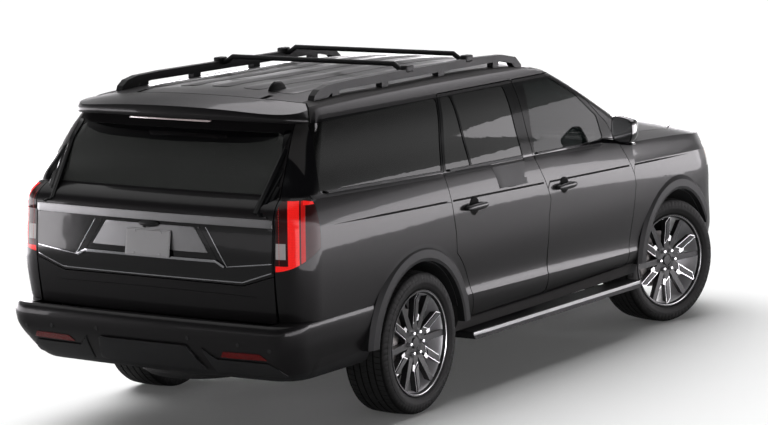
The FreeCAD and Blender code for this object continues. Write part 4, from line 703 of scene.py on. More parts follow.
class DressBumper(bpy.types.Operator):
    """Adds the rear bumper's skid, reflectors, sensors and lower pods"""

    bl_idname = "vehicle.dress_bumper"
    bl_label = "Dress Rear Bumper"

    def execute(self, context):
        skin = Skin("rear_bumper")
        skid = rounded([tail(-300, 578), tail(300, 578), tail(362, 430), tail(-362, 430)], 0.012)
        cover("bumper_skid", skin, skid, BACKWARDS, 0.016, 0.002, "black_plastic", "body", 0.03, 0.007)
        for side, word in SIDES.items():
            pod = [tail(side * y, z) for y, z in ((395, 575), (470, 506), (800, 506), (840, 470), (860, 420),
                                                  (420, 420))]
            cover(f"bumper_pod_{word}", skin, rounded(pod, 0.01), BACKWARDS, 0.009, 0.002, "black_plastic", "body",
                  0.03, 0.004)
            lens = [tail(side * y, z) for y, z in ((500, 522), (530, 560), (765, 563), (800, 526))]
            cover(f"reflector_{word}", skin, rounded(lens, 0.008), BACKWARDS, 0.004, 0.002, "reflector", "body",
                  0.02, 0.001)
            for number, (y, z) in enumerate(((313, 624), (640, 610), (835, 590))):
                spot = skin.drop(tail(side * y, z), BACKWARDS)
                bm = bmesh.new()
                made = bmesh.ops.create_cone(bm, cap_ends=True, segments=24, radius1=0.012, radius2=0.0105,
                                             depth=0.006)["verts"]
                bmesh.ops.rotate(bm, verts=made, matrix=Matrix.Rotation(math.radians(-90), 3, "Y"))
                bmesh.ops.translate(bm, verts=made, vec=spot - 0.001 * BACKWARDS)
                new_piece(f"park_sensor_{word}_{number}", bm, "black_plastic", "body")
        return {"FINISHED"}


def flank(x, z):
    """A point beside the vehicle, from millimetres ahead of the rear axle and up."""
    return Vector(((x + REAR_AXLE_X) * MM, 0.0, z * MM))


BELT_LINE = ((-1100, 1398), (331, 1356), (1430, 1334), (2380, 1305))


def belt_height(x):
    for (x0, z0), (x1, z1) in zip(BELT_LINE, BELT_LINE[1:]):
        if x <= x1:
            return z0 + (z1 - z0) * (x - x0) / (x1 - x0)
    return BELT_LINE[-1][1]


PANELS = {"body": ("body_side", -898, 352), "rear_door": ("rear_door", 372, 1478), "front_door": ("front_door", 1500, 2655),
          "fender": ("front_fenders", 2680, 3556)}


class DressFlanks(bpy.types.Operator):
    """Adds a painted shadow line along the shoulder crease, belt mouldings, door handles and running board edges"""

    bl_idname = "vehicle.dress_flanks"
    bl_label = "Dress Flanks"

    def execute(self, context):
        for side, word in SIDES.items():
            look = Vector((0, -side, 0))
            for panel, (node, start, end) in PANELS.items():
                node = node if node == "front_fenders" else f"{node}_{word}"
                body = f"{panel}_{word}" if "door" in panel else "body"
                skin = Skin(node)
                self.shoulder(f"shoulder_{panel}_{word}", skin, look, start, end, body)
                if panel != "fender":
                    self.belt(f"belt_{panel}_{word}", skin, look, panel, body)
                    pane = "quarter_glass" if panel == "body" else f"{panel}_glass_{word}"
                    self.seal(f"seal_{panel}_{word}", Skin(pane), look, panel, body)
                if "door" in panel:
                    door_handle(f"handle_{panel}_{word}", skin, look, 612 if panel == "rear_door" else 1741,
                                1140 if panel == "rear_door" else 1123, body)
            boards = Skin("running_boards")
            edge = [flank(x, 387 - 0.0095 * (x - 570)) for x in (575, 1300, 2030, 2765)]
            cover(f"board_edge_{word}", boards, ribbon([p - Vector((0, 0, 0.012)) for p in edge], look, 0.02), look,
                  0.0015, 0.001, "bright_trim", "body", 0.1, 0.001)
        return {"FINISHED"}

    @staticmethod
    def shoulder(name, skin, look, start, end, body):
        count = max(3, int((end - start) / 120))
        path, widths = [], []
        for i in range(count + 1):
            x = start + (end - start) * i / count
            path.append(flank(x, 1237 - 0.0275 * (x + 898)))
            widths.append(0.0008 + 0.011 * min(1.0, (x + 900) / 500, (3560 - x) / 500))
        # A thin near-black strip along the crease: a painted shadow line
        cover(name, skin, ribbon(path, look, widths), look, 0.0012, 0.001, "groove", body, 0.06, 0.0005)

    @staticmethod
    def seal(name, skin, look, panel, body):
        """The rubber lip at the foot of a window."""
        start, end = {"body": (-900, 300), "rear_door": (395, 1282), "front_door": (1470, 2380)}[panel]
        path = [flank(x, belt_height(x) + 15) for x in (start + (end - start) * i / 8 for i in range(9))]
        cover(name, skin, ribbon(path, look, 0.026), look, 0.018, 0.0, "black_plastic", body, 0.06, 0.0)

    @staticmethod
    def belt(name, skin, look, panel, body):
        start, end = {"body": (-1030, 312), "rear_door": (350, 1412), "front_door": (1440, 2330)}[panel]
        path = [flank(start + (end - start) * i / 8, belt_height(start + (end - start) * i / 8) + 2) for i in range(9)]
        cover(name, skin, ribbon(path, look, 0.018), look, 0.004, 0.001, "black_plastic", body, 0.06, 0.0015)


def door_handle(name, skin, look, x, z, body):
    """A rounded pull handle that bridges a round scoop, coloured near black as painted shade."""
    centre = skin.drop(flank(x, z), look)
    bm = bmesh.new()
    scoop = bmesh.ops.create_uvsphere(bm, u_segments=40, v_segments=12, radius=1.0)["verts"]
    bmesh.ops.scale(bm, verts=scoop, vec=(0.058, 0.0035, 0.056))
    # The flat scoop behind the grip is coloured near black: painted shade in the recess
    for face in bm.faces:
        face.material_index = 1
    grip = bmesh.ops.create_uvsphere(bm, u_segments=40, v_segments=20, radius=1.0)["verts"]
    for vert in grip:
        end = abs(vert.co.x) ** 0.55
        vert.co.x = math.copysign(end, vert.co.x) * 0.117
        vert.co.y *= 0.012
        vert.co.z *= 0.021
    bmesh.ops.translate(bm, verts=grip, vec=-0.030 * look)
    for end in (-1, 1):
        foot = bmesh.ops.create_uvsphere(bm, u_segments=24, v_segments=12, radius=1.0)["verts"]
        bmesh.ops.scale(bm, verts=foot, vec=(0.034, 0.036, 0.017))
        bmesh.ops.translate(bm, verts=foot, vec=(end * 0.08, 0, 0))
    bmesh.ops.translate(bm, verts=bm.verts, vec=centre)
    return new_piece(name, bm, ["paint_plain", "groove"], body)


TYRE_RADIUS, RIM_RADIUS, TYRE_HALF = 0.419, 0.312, 0.1425


class DressWheels(bpy.types.Operator):
    """Replaces the wheels and tyres with spoked wheels, treaded tyres, discs and calipers"""

    bl_idname = "vehicle.dress_wheels"
    bl_label = "Dress Wheels"

    def execute(self, context):
        for end in ("front", "rear"):
            for side, word in SIDES.items():
                place = wheel_place(end, side)
                body = f"{end}_wheel_{word}"
                tyre = new_piece(f"tyre_{end}_{word}", moved(tyre_mesh(), place), ["tyre", "tyre_wall", "groove"], body, 40)
                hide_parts(f"{end}_tyre_{word}")
                rim = new_piece(f"wheel_{end}_{word}", moved(wheel_mesh(), place), ["alloy", "machined", "barrel"], body, 30)
                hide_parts(f"{end}_wheel_{word}")
                brakes(end, word, place)
        return {"FINISHED"}


STEER_AT_REST = math.radians(-17.3)


def wheel_place(end, side):
    """Where a wheel stands: its outer face looks away from the vehicle."""
    turn = Matrix.Rotation(math.pi if side == RIGHT else 0.0, 4, "Z")
    if end == "rear":
        return Matrix.Translation((-1.453, side * 0.856, TYRE_RADIUS)) @ turn
    kingpin = Matrix.Translation((1.890, side * 0.790, TYRE_RADIUS)) @ Matrix.Rotation(STEER_AT_REST, 4, "Z")
    return kingpin @ Matrix.Translation((0, side * 0.066, 0)) @ turn


def moved(bm, place):
    bmesh.ops.transform(bm, matrix=place, verts=bm.verts)
    return bm


TYRE_PITCHES = 72
SIPE_TURNS = (0.0, 0.14, 0.46, 0.60)      # degrees of the four rings in each pitch of 5 degrees
GROOVES = (-0.068, -0.024, 0.024, 0.068)
GROOVE_HALF, GROOVE_DEEP, SIPE_DEEP = 0.0045, 0.008, 0.0045
TREAD_HALF, CROWN_DROP = 0.113, 0.0045


def tyre_profile():
    """Points (across, radius) round the section of a tyre, from the outer bead over the tread and back inside."""
    wall = [(0.117, 0.3115), (0.130, 0.318), (0.1385, 0.334), (0.1405, 0.3445), (0.1415, 0.346), (0.1425, 0.360),
            (0.1412, 0.374), (0.1396, 0.3745), (0.1382, 0.388), (0.1330, 0.400), (0.1245, 0.4095)]
    crown = [TREAD_HALF]
    for centre in reversed(GROOVES):
        crown += [centre + GROOVE_HALF, centre + GROOVE_HALF * 0.7, centre - GROOVE_HALF * 0.7, centre - GROOVE_HALF]
    crown.append(-TREAD_HALF)
    top = []
    for y in crown:
        deep = any(abs(y - centre) < GROOVE_HALF * 0.9 for centre in GROOVES)
        top.append((y, TYRE_RADIUS - CROWN_DROP * (y / TREAD_HALF) ** 2 - (GROOVE_DEEP if deep else 0.0)))
    inside = [(-0.105, 0.325), (-0.122, 0.37), (-0.1, 0.395), (0.1, 0.395), (0.122, 0.37), (0.105, 0.325)]
    return wall + top + [(-y, r) for y, r in wall[::-1]] + inside


def tyre_mesh():
    """A tyre whose ribs are cut across by slanted sipes, and whose shoulders carry fine ribs."""
    bm = bmesh.new()
    turned(bm, tyre_profile(), TYRE_PITCHES * len(SIPE_TURNS))
    pitch = math.tau / TYRE_PITCHES
    step = pitch / len(SIPE_TURNS)
    for vert in bm.verts:
        y, radius = vert.co.y, math.hypot(vert.co.x, vert.co.z)
        ring = round(math.atan2(vert.co.x, vert.co.z) / step) % (TYRE_PITCHES * len(SIPE_TURNS))
        place = ring % len(SIPE_TURNS)
        angle = (ring // len(SIPE_TURNS)) * pitch + math.radians(SIPE_TURNS[place])
        if radius > 0.402 and abs(y) < 0.126:
            angle += math.radians(16.0 * y * (1 if abs(y) > 0.03 else -2.5))
            if place in (1, 2):
                radius -= SIPE_DEEP * (1.0 if abs(y) > 0.07 else 0.55)
        elif 0.373 < radius < 0.401 and place in (0, 3) and abs(y) > 0.13:
            y *= 1.004
        vert.co = Vector((radius * math.sin(angle), y, radius * math.cos(angle)))
    # Sidewall faces take the sidewall finish; groove and sipe bottoms take the near-black finish, painted shade in the
    # recesses
    for face in bm.faces:
        centre = face.calc_center_median()
        radius = math.hypot(centre.x, centre.z)
        full = TYRE_RADIUS - CROWN_DROP * (centre.y / TREAD_HALF) ** 2
        if abs(centre.y) > 0.122:
            face.material_index = 1
        elif 0.402 < radius < full - 0.0022:
            face.material_index = 2
    return bm


SPOKE_FACE, SPOKE_RISE, SPOKE_DEEP = 0.097, 0.020, 0.042
RIM_PROFILE = [(0.112, 0.290), (0.128, 0.2975), (0.1285, 0.3005), (0.131, 0.3025), (0.1315, 0.309), (0.126, 0.3118), (0.116, 0.311), (0.108, 0.301),
               (0.0, 0.286), (-0.10, 0.297), (-0.118, 0.311), (-0.1305, 0.311), (-0.1305, 0.302), (-0.10, 0.288),
               (0.0, 0.277), (0.09, 0.284)]
# Outlines of the parts of one spoke, as (out from the axle, across) in metres
POCKET_ARM = [(0.112, 0.025), (0.262, 0.024), (0.303, -0.019), (0.152, -0.023)]
ARM_ROOT = [(0.070, 0.025), (0.112, 0.025), (0.152, -0.023), (0.070, -0.023)]
PLAIN_ARM = [(0.070, 0.021), (0.304, 0.016), (0.304, -0.018), (0.070, -0.021)]
JOINT_PATCH = [(0.128, -0.012), (0.172, -0.018), (0.158, -0.040), (0.126, -0.034)]
ARM_TURN = 33.0


def spoke_part(outline, turn, drop, edge, sunk, bright):
    """One raised part of a spoke, with a machined edge round a sunk face."""
    part = bmesh.new()
    front = part.faces.new([part.verts.new((across, 0, out)) for out, across in outline])
    base = list(part.verts)
    made = bmesh.ops.extrude_face_region(part, geom=[front])["geom"]
    top = [g for g in made if isinstance(g, bmesh.types.BMFace)]
    bmesh.ops.translate(part, verts=[v for f in top for v in f.verts], vec=(0, SPOKE_DEEP, 0))
    if edge:
        ring = bmesh.ops.inset_region(part, faces=top, thickness=edge, depth=0.0, use_even_offset=True)["faces"]
        bmesh.ops.inset_region(part, faces=top, thickness=0.002, depth=-sunk, use_even_offset=True)
        for face in ring:
            face.material_index = 1
    elif bright:
        top[0].material_index = 1
    for vert in base:
        vert.co.x *= 0.7
    for vert in part.verts:
        reach = math.hypot(vert.co.x, vert.co.z) / 0.3
        vert.co.y += SPOKE_FACE - SPOKE_DEEP - drop + SPOKE_RISE * reach ** 2
    bmesh.ops.rotate(part, verts=part.verts, matrix=Matrix.Rotation(turn, 3, "Y"))
    return part


def wheel_mesh():
    """A wheel of six pocketed and six plain spokes, with thin machined edges, six nuts and a plain cap."""
    bm = bmesh.new()
    turned(bm, RIM_PROFILE, 144)
    for face in bm.faces:
        centre = face.calc_center_median()
        if centre.y > 0.12 and 0.3 < math.hypot(centre.x, centre.z) < 0.303:
            face.material_index = 1
        elif math.hypot(centre.x, centre.z) < 0.2925 and centre.y < 0.11:
            face.material_index = 2
    for k in range(6):
        turn = k * math.tau / 6
        other = turn + math.radians(ARM_TURN)
        for part in (spoke_part(POCKET_ARM, turn, 0.0, 0.0048, 0.006, False),
                     spoke_part(ARM_ROOT, turn, 0.0015, 0.0, 0.0, False),
                     spoke_part(PLAIN_ARM, other, 0.004, 0.0, 0.0, False),
                     spoke_part(JOINT_PATCH, turn, -0.0005, 0.0, 0.0, True)):
            mesh = bpy.data.meshes.new("part")
            part.to_mesh(mesh)
            part.free()
            bm.from_mesh(mesh)
            bpy.data.meshes.remove(mesh)
    turned(bm, [(0.03, 0.0), (0.03, 0.096), (0.088, 0.098), (0.096, 0.092), (0.098, 0.045), (0.094, 0.04),
                (0.094, 0.0)], 48)
    turned(bm, [(0.09, 0.0), (0.09, 0.0335), (0.1, 0.0335), (0.103, 0.031), (0.104, 0.0)], 48)
    for k in range(6):
        angle = k * math.tau / 6 + math.tau / 12
        nut = bmesh.ops.create_cone(bm, cap_ends=True, segments=6, radius1=0.0125, radius2=0.0115, depth=0.02)["verts"]
        crown = bmesh.ops.create_uvsphere(bm, u_segments=12, v_segments=6, radius=0.0115)["verts"]
        bmesh.ops.scale(bm, verts=crown, vec=(1, 1, 0.5))
        bmesh.ops.translate(bm, verts=crown, vec=(0, 0, 0.01))
        bmesh.ops.rotate(bm, verts=nut + crown, matrix=Matrix.Rotation(math.radians(-90), 3, "X"))
        bmesh.ops.translate(bm, verts=nut + crown, vec=(0.068 * math.sin(angle), 0.104, 0.068 * math.cos(angle)))
        for face in {f for v in nut + crown for f in v.link_faces}:
            face.material_index = 1
    bmesh.ops.remove_doubles(bm, verts=bm.verts, dist=0.00005)
    return bm


def brakes(end, word, place):
    """A vented disc that turns with the wheel, and a caliper that stays."""
    disc = bmesh.new()
    turned(disc, [(-0.012, 0.09), (-0.012, 0.188), (0.004, 0.188), (0.004, 0.19), (0.02, 0.19), (0.02, 0.1),
                  (0.05, 0.095), (0.05, 0.07), (0.03, 0.07)], 96)
    new_piece(f"brake_disc_{end}_{word}", moved(disc, place), "steel", f"{end}_wheel_{word}")
    caliper = bmesh.new()
    profile = [(-0.045, 0.115), (-0.045, 0.205), (0.045, 0.205), (0.052, 0.19), (0.052, 0.125), (0.028, 0.115),
               (0.028, 0.197), (-0.02, 0.197), (-0.02, 0.115)]
    verts = [caliper.verts.new((0.0, y, r)) for y, r in profile]
    face = caliper.faces.new(verts)
    bmesh.ops.spin(caliper, geom=[face], cent=(0, 0, 0), axis=(0, 1, 0), angle=math.radians(64), steps=16)
    bmesh.ops.rotate(caliper, verts=caliper.verts, matrix=Matrix.Rotation(math.radians(60), 3, "Y"))
    body = f"knuckle_{word}" if end == "front" else "body"
    new_piece(f"brake_caliper_{end}_{word}", moved(caliper, place), "steel", body)


# Front edge, middle and width of each seat, and the height of its cushion, in mm
SEATS = [(1850, -400, 540, 870), (1850, 400, 540, 870), (910, -420, 560, 880), (910, 420, 560, 880),
         (-140, -365, 360, 890), (-140, 0, 340, 890), (-140, 365, 360, 890)]
CUSHION_SIDE = [(-424, -124), (-6, -114), (-6, 8), (-424, -12)]
BACK_SIDE = [(-554, -124), (-438, -124), (-438, -10), (-606, 592), (-694, 583)]
REST_SIDE = [(-684, 631), (-606, 631), (-630, 794), (-699, 789)]
SEAT_FLOOR = 608
PAD_GRID, PAD_SHRINK, PAD_SWELL = 0.016, 0.010, 0.024


class DressCabin(bpy.types.Operator):
    """Makes the padded seats and head restraints, their plinths, the headliner and the facia's fittings"""

    bl_idname = "vehicle.dress_cabin"
    bl_label = "Dress Cabin"

    def execute(self, context):
        width = SEATS[0][2] * MM
        forms = {"cushion": puffed(pad_form(CUSHION_SIDE, width), PAD_SWELL),
                 "back": puffed(pad_form(BACK_SIDE, width), PAD_SWELL),
                 "rest": puffed(pad_form(REST_SIDE, 0.26), 0.012)}
        nodes = {"cushion": "seat_cushions", "back": "seat_backs", "rest": "head_restraints"}
        for number, (x, y, wide, z) in enumerate(SEATS, 1):
            for key, form in forms.items():
                bm = bmesh.new()
                bm.from_mesh(form)
                if key != "rest":
                    bmesh.ops.scale(bm, verts=bm.verts, vec=(1, wide * MM / width, 1))
                    sew(bm, key, wide * MM)
                bmesh.ops.translate(bm, verts=bm.verts, vec=at(x, y, z))
                pad = new_piece(f"seat_{key}_{number}", bm, "leather", "body", 60)
                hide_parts(nodes[key])
            seat_base(number, x, y, z)
            rest_posts(number, x, y, z)
        lining = [at(x, y, 1500) for x, y in ((-640, -600), (1900, -560), (1900, 560), (-640, 600))]
        cover("headliner", Skin("roof_panel"), rounded(lining, 0.05), Vector((0, 0, 1)), 0.004, 0.0, "headliner", "body",
              0.12, 0.002)
        facia_fittings()
        return {"FINISHED"}


def pad_form(side, width):
    """A block of foam cut to a seat's side view, a little under size, with soft corners."""
    bm = bmesh.new()
    middle = Vector((sum(x for x, _ in side), sum(z for _, z in side))) / len(side)
    reach = PAD_SHRINK * 1000
    verts = []
    for x, z in side:
        inward = (middle - Vector((x, z))).normalized() * reach
        verts.append(bm.verts.new(((x + inward.x) * MM, -width / 2 + PAD_SHRINK, (z + inward.y) * MM)))
    face = bm.faces.new(verts)
    made = bmesh.ops.extrude_face_region(bm, geom=[face])["geom"]
    far = [g for g in made if isinstance(g, bmesh.types.BMVert)]
    bmesh.ops.translate(bm, verts=far, vec=(0, width - 2 * PAD_SHRINK, 0))
    bmesh.ops.recalc_face_normals(bm, faces=bm.faces)
    bmesh.ops.bevel(bm, geom=bm.edges[:], offset=0.024, segments=3, profile=0.5, affect="EDGES", material=-1)
    return bm


def evaluated(piece):
    """The mesh that an object shows with its modifiers."""
    graph = bpy.context.evaluated_depsgraph_get()
    return bpy.data.meshes.new_from_object(piece.evaluated_get(graph))


def puffed(bm, swell):
    """Stuffs a form: an even grid of cloth, blown up from inside, held to a small swelling, then made finer."""
    mesh = bpy.data.meshes.new("pad")
    bm.to_mesh(mesh)
    bm.free()
    pad = bpy.data.objects.new("pad", mesh)
    bpy.context.scene.collection.objects.link(pad)
    grid = pad.modifiers.new("grid", "REMESH")
    grid.mode, grid.voxel_size = "VOXEL", PAD_GRID
    pad.data = evaluated(pad)
    pad.modifiers.clear()
    start = [v.co.copy() for v in pad.data.vertices]
    cloth = pad.modifiers.new("cloth", "CLOTH")
    cloth.settings.use_pressure = True
    cloth.settings.uniform_pressure_force = 4.0
    cloth.settings.effector_weights.gravity = 0.0
    cloth.point_cache.frame_start, cloth.point_cache.frame_end = 1, 20
    for frame_number in range(1, 21):
        bpy.context.scene.frame_set(frame_number)
    swollen = evaluated(pad)
    pad.modifiers.clear()
    bpy.context.scene.frame_set(1)
    for vert, before, after in zip(pad.data.vertices, start, swollen.vertices):
        step = after.co - before
        vert.co = before + step * min(1.0, swell / max(step.length, 1e-6))
    finer = pad.modifiers.new("finer", "SUBSURF")
    finer.levels = finer.render_levels = 1
    done = evaluated(pad)
    bpy.data.objects.remove(pad)
    return done


SEAM_DEPTH, SEAM_HALF = 0.006, 0.007


def sew(bm, key, width):
    """Draws a pad in along its seams: two long ones beside the bolsters, and cross ones between them."""
    bolster = width * 0.31
    normals = [v.normal.copy() for v in bm.verts]
    for vert, normal in zip(bm.verts, normals):
        outer = normal.z > 0.6 if key == "cushion" else normal.x > 0.6
        if not outer:
            continue
        run = vert.co.x if key == "cushion" else vert.co.z
        gaps = [abs(abs(vert.co.y) - bolster)]
        if abs(vert.co.y) < bolster:
            pitch = 0.085 if key == "cushion" else 0.11
            gaps.append(abs((run + 10 * pitch) % pitch - pitch / 2))
        vert.co -= normal * SEAM_DEPTH * math.exp(-(min(gaps) / SEAM_HALF) ** 2)


def block(bm, size, place, edge=0.004):
    """A soft-edged block added to a bmesh; returns its vertices."""
    made = bmesh.ops.create_cube(bm, size=1.0)["verts"]
    bmesh.ops.scale(bm, verts=made, vec=size)
    edges = list({e for v in made for e in v.link_edges})
    faces = bmesh.ops.bevel(bm, geom=edges, offset=edge, segments=3, profile=0.5, affect="EDGES", material=-1)["faces"]
    verts = list({v for f in faces for v in f.verts})
    bmesh.ops.translate(bm, verts=verts, vec=place)
    return verts


def seat_base(number, x, y, z):
    """The plinth under a seat, its two floor runners and its side shields."""
    bm = bmesh.new()
    top = z - 112
    block(bm, (0.37, 0.27, (top - SEAT_FLOOR) * MM), at(x - 245, y, (top + SEAT_FLOOR) / 2), 0.012)
    for side in SIDES:
        block(bm, (0.42, 0.04, 0.03), at(x - 245, y + side * 128, SEAT_FLOOR + 16), 0.005)
        block(bm, (0.34, 0.018, 0.07), at(x - 250, y + side * 143, top - 42), 0.008)
    new_piece(f"seat_base_{number}", bm, "black_plastic", "body")


def rest_posts(number, x, y, z):
    bm = bmesh.new()
    for side in SIDES:
        post = bmesh.ops.create_cone(bm, cap_ends=True, segments=20, radius1=0.0065, radius2=0.0065, depth=0.07)["verts"]
        collar = bmesh.ops.create_cone(bm, cap_ends=True, segments=20, radius1=0.014, radius2=0.011, depth=0.012)["verts"]
        bmesh.ops.translate(bm, verts=collar, vec=(0, 0, -0.012))
        bmesh.ops.translate(bm, verts=post + collar, vec=at(x - 649, y + side * 60, z + 610))
    new_piece(f"rest_posts_{number}", bm, "steel", "body")


def facia_fittings():
    """A wide screen, a row of vents and a centre stack on the facia."""
    bm = bmesh.new()
    block(bm, (0.02, 0.62, 0.15), at(2352, 240, 1262), 0.006)
    block(bm, (0.02, 0.30, 0.22), at(2338, 0, 1090), 0.008)
    new_piece("facia_screens", bm, "gloss_black", "body")
    bm = bmesh.new()
    for start, end in ((-780, -180), (180, 300), (480, 780)):
        block(bm, (0.016, (end - start) * MM, 0.06), at(2338, (start + end) / 2, 1145), 0.005)
        for i in range(4):
            block(bm, (0.03, (end - start - 16) * MM, 0.004), at(2332, (start + end) / 2, 1126 + 12 * i), 0.001)
    new_piece("facia_vents", bm, "satin_trim", "body")


MIRROR_FACE = [(1034, 1500), (1100, 1497), (1176, 1478), (1184, 1380), (1160, 1326), (1046, 1334), (1030, 1400)]
MIRROR_STATIONS = [(2324, 1.0), (2332, 1.02), (2372, 1.03), (2412, 0.97), (2438, 0.82), (2450, 0.55)]


class DressMirrors(bpy.types.Operator):
    """Replaces the door mirrors with rounded housings on stalks, holding silvered glass"""

    bl_idname = "vehicle.dress_mirrors"
    bl_label = "Dress Mirrors"

    def execute(self, context):
        for side, word in SIDES.items():
            centre = Vector((0, side * 1.105, 1.41))
            rim = rounded([Vector((0, side * y * MM, z * MM)) for y, z in MIRROR_FACE], 0.035, 4)
            bm = bmesh.new()
            rings = []
            for x, scale in MIRROR_STATIONS:
                depth = Vector((at(x, 0, 0).x, 0, 0))
                rings.append([bm.verts.new(centre + (p - centre) * scale + depth) for p in rim])
            for ring, after in zip(rings, rings[1:]):
                for i, vert in enumerate(ring):
                    bm.faces.new((ring[i - 1], vert, after[i], after[i - 1]))
            bm.faces.new(rings[-1])
            front = bm.faces.new(rings[0])
            bmesh.ops.recalc_face_normals(bm, faces=bm.faces)
            bmesh.ops.inset_region(bm, faces=[front], thickness=0.006, depth=0.0)
            bmesh.ops.inset_region(bm, faces=[front], thickness=0.0015, depth=-0.007)
            front.material_index = 1
            block(bm, (0.07, 0.15, 0.03), at(2395, side * 1000, 1331), 0.01)
            block(bm, (0.05, 0.10, 0.014), at(2392, side * 1110, 1318), 0.006)
            signal = block(bm, (0.008, 0.075, 0.012), at(2446, side * 1110, 1385), 0.003)
            for face in {f for v in signal for f in v.link_faces}:
                face.material_index = 2
            mirror = new_piece(f"door_mirror_{word}", bm, ["gloss_black", "mirror_glass", "amber"],
                               f"front_door_{word}", 40)
            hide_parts(f"mirror_{word}")
        return {"FINISHED"}


class DressNose(bpy.types.Operator):
    """Adds the fog lamps with their bezels, and the lower skid"""

    bl_idname = "vehicle.dress_nose"
    bl_label = "Dress Nose"

    def execute(self, context):
        look = Vector((-1, 0, 0))
        skin = Skin("front_bumper")
        for side, word in SIDES.items():
            fog = [Vector((3.2, side * y * MM, z * MM)) for y, z in ((838, 590), (872, 590), (872, 745), (838, 745))]
            cover(f"fog_lamp_{word}", skin, rounded(fog, 0.01), look, 0.004, 0.002, "lamp_pale", "body", 0.02, 0.002)
            bezel = [Vector((3.2, side * y * MM, z * MM)) for y, z in ((826, 578), (884, 578), (884, 757), (826, 757))]
            cover(f"fog_bezel_{word}", skin, rounded(bezel, 0.014), look, 0.002, 0.002, "gloss_black", "body", 0.02,
                  0.002)
        skid = [Vector((3.2, y * MM, z * MM)) for y, z in ((-430, 415), (430, 415), (500, 478), (-500, 478))]
        cover("front_skid", skin, rounded(skid, 0.02), look, 0.004, 0.002, "satin_trim", "body", 0.03, 0.002)
        return {"FINISHED"}


class DressRoof(bpy.types.Operator):
    """Adds the pressed ribs of the roof, the feet and caps of its rails, and the wipers"""

    bl_idname = "vehicle.dress_roof"
    bl_label = "Dress Roof"

    def execute(self, context):
        down = Vector((0, 0, -1))
        skin = Skin("roof_panel")
        for number, y in enumerate((-440, -220, 0, 220, 440), 1):
            path = [at(x, y, 2100) for x in (-560, -200, 200, 600, 1000, 1400, 1760)]
            cover(f"roof_rib_{number}", skin, rounded(ribbon(path, down, 0.13), 0.05), down, rib_height(y), 0.001,
                  "paint_plain", "body", 0.045, 0.0)
        for side, word in SIDES.items():
            bm = bmesh.new()
            for x in (418, 1116):
                block(bm, (0.085, 0.05, 0.042), at(x, side * 668, 1962), 0.01)
                block(bm, (0.03, 0.012, 0.03), at(x, side * 640, 1966), 0.004)
            new_piece(f"crossbar_feet_{word}", bm, "black_plastic", "body")
        self.wipers()
        return {"FINISHED"}

    @staticmethod
    def wipers():
        """Two blades parked at the foot of the windscreen."""
        screen = Skin("windscreen")
        look = Vector((-0.6, 0, -0.8))
        for number, (y0, y1) in enumerate(((-640, -20), (60, 660)), 1):
            path = [Vector((1.35, 0, 2.0)) + Vector((0, (y0 + (y1 - y0) * t / 6) * MM, 0)) for t in range(7)]
            placed = [Vector((at(2560 - 60 * (abs(p.y) / 0.7) ** 2, 0, 0).x, p.y, 2.6)) for p in path]
            cover(f"wiper_blade_{number}", screen, ribbon(placed, Vector((0, 0, -1)), 0.016), Vector((0, 0, -1)), 0.022,
                  -0.003, "black_plastic", "body", 0.05, 0.002)


def rib_height(y):
    """A rib's rise: full along its middle, and nothing at its edges and ends."""
    def rise(point):
        across = min(1.0, abs(point.y - y * MM) / 0.065)
        along = min(1.0, (point.x - at(-560, 0, 0).x) / 0.12, (at(1760, 0, 0).x - point.x) / 0.12)
        return 0.0015 + 0.0065 * (1 - across ** 2) * max(0.0, along) ** 0.5
    return rise


CAMERA_PLACE = (-15.502, -9.482, 3.607)
CAMERA_AZIMUTH, CAMERA_ELEVATION, CAMERA_ROLL = -58.15, 8.39, -0.84
CAMERA_LENS = 135.47
AMBIENT, HORIZON, OVERHEAD = 0.03, 0.97, 3.9
KEY_LIGHT = (0.15, 0.40, 0.90)
FLOOR_LIFT = 0.03
WALL, END_WALL, CEILING = 24.0, 2.0, 6.0


class BuildStage(bpy.types.Operator):
    """Lays the floor, sets the studio light, and places the camera where the photograph was taken"""

    bl_idname = "vehicle.build_stage"
    bl_label = "Build Stage"

    def execute(self, context):
        scene = context.scene
        lay_floor(scene.vehicle_stage.floor_radius)
        scene.world = studio_light().holder
        for side in SIDES:
            light_wall("side_wall", (5.0, -side * 5.6, 1.05), (26.0, 2.1), 90 - 90 * side, WALL)
            light_wall("upper_wall", (5.0, -side * 5.6, 2.6), (26.0, 1.0), 90 - 90 * side, WALL * 0.12)
        for end in (-1, 1):
            light_wall("end_wall", (end * 10.0, 0.0, 1.3), (9.0, 1.2), 90 * end, END_WALL)
        light_wall("ceiling", (8.0, 0.0, 7.0), (12.0, 12.0), None, CEILING)
        scene.camera = photo_camera()
        scene.view_settings.view_transform = "Standard"
        return {"FINISHED"}


def lay_floor(radius):
    bm = bmesh.new()
    bmesh.ops.create_circle(bm, cap_ends=True, segments=96, radius=radius)
    mesh = bpy.data.meshes.new("studio_floor")
    bm.to_mesh(mesh)
    bm.free()
    floor = bpy.data.objects.new("studio_floor", mesh)
    bpy.context.scene.collection.objects.link(floor)
    finish = Finish("studio_floor", specular_ior_level=0.0)
    finish.feed("Base Color", finish.mixed(finish.noise(0.8), (0.92, 0.92, 0.92), (0.94, 0.94, 0.94)))
    finish.feed("Roughness", 1.0)
    path = finish.node("ShaderNodeLightPath").outputs
    seen = Number(finish, path["Is Camera Ray"]).most(Number(finish, path["Is Glossy Ray"]))
    seen = seen.most(Number(finish, path["Is Transmission Ray"]))
    lift = finish.node("ShaderNodeEmission", {}, {"Color": (1, 1, 1, 1), "Strength": FLOOR_LIFT * seen})
    both = finish.node("ShaderNodeAddShader", {}, {0: finish.shader.outputs[0], 1: lift.outputs[0]})
    output = finish.tree.nodes.get("Material Output")
    finish.join(both.outputs[0], output.inputs["Surface"])
    mesh.materials.append(finish.holder)


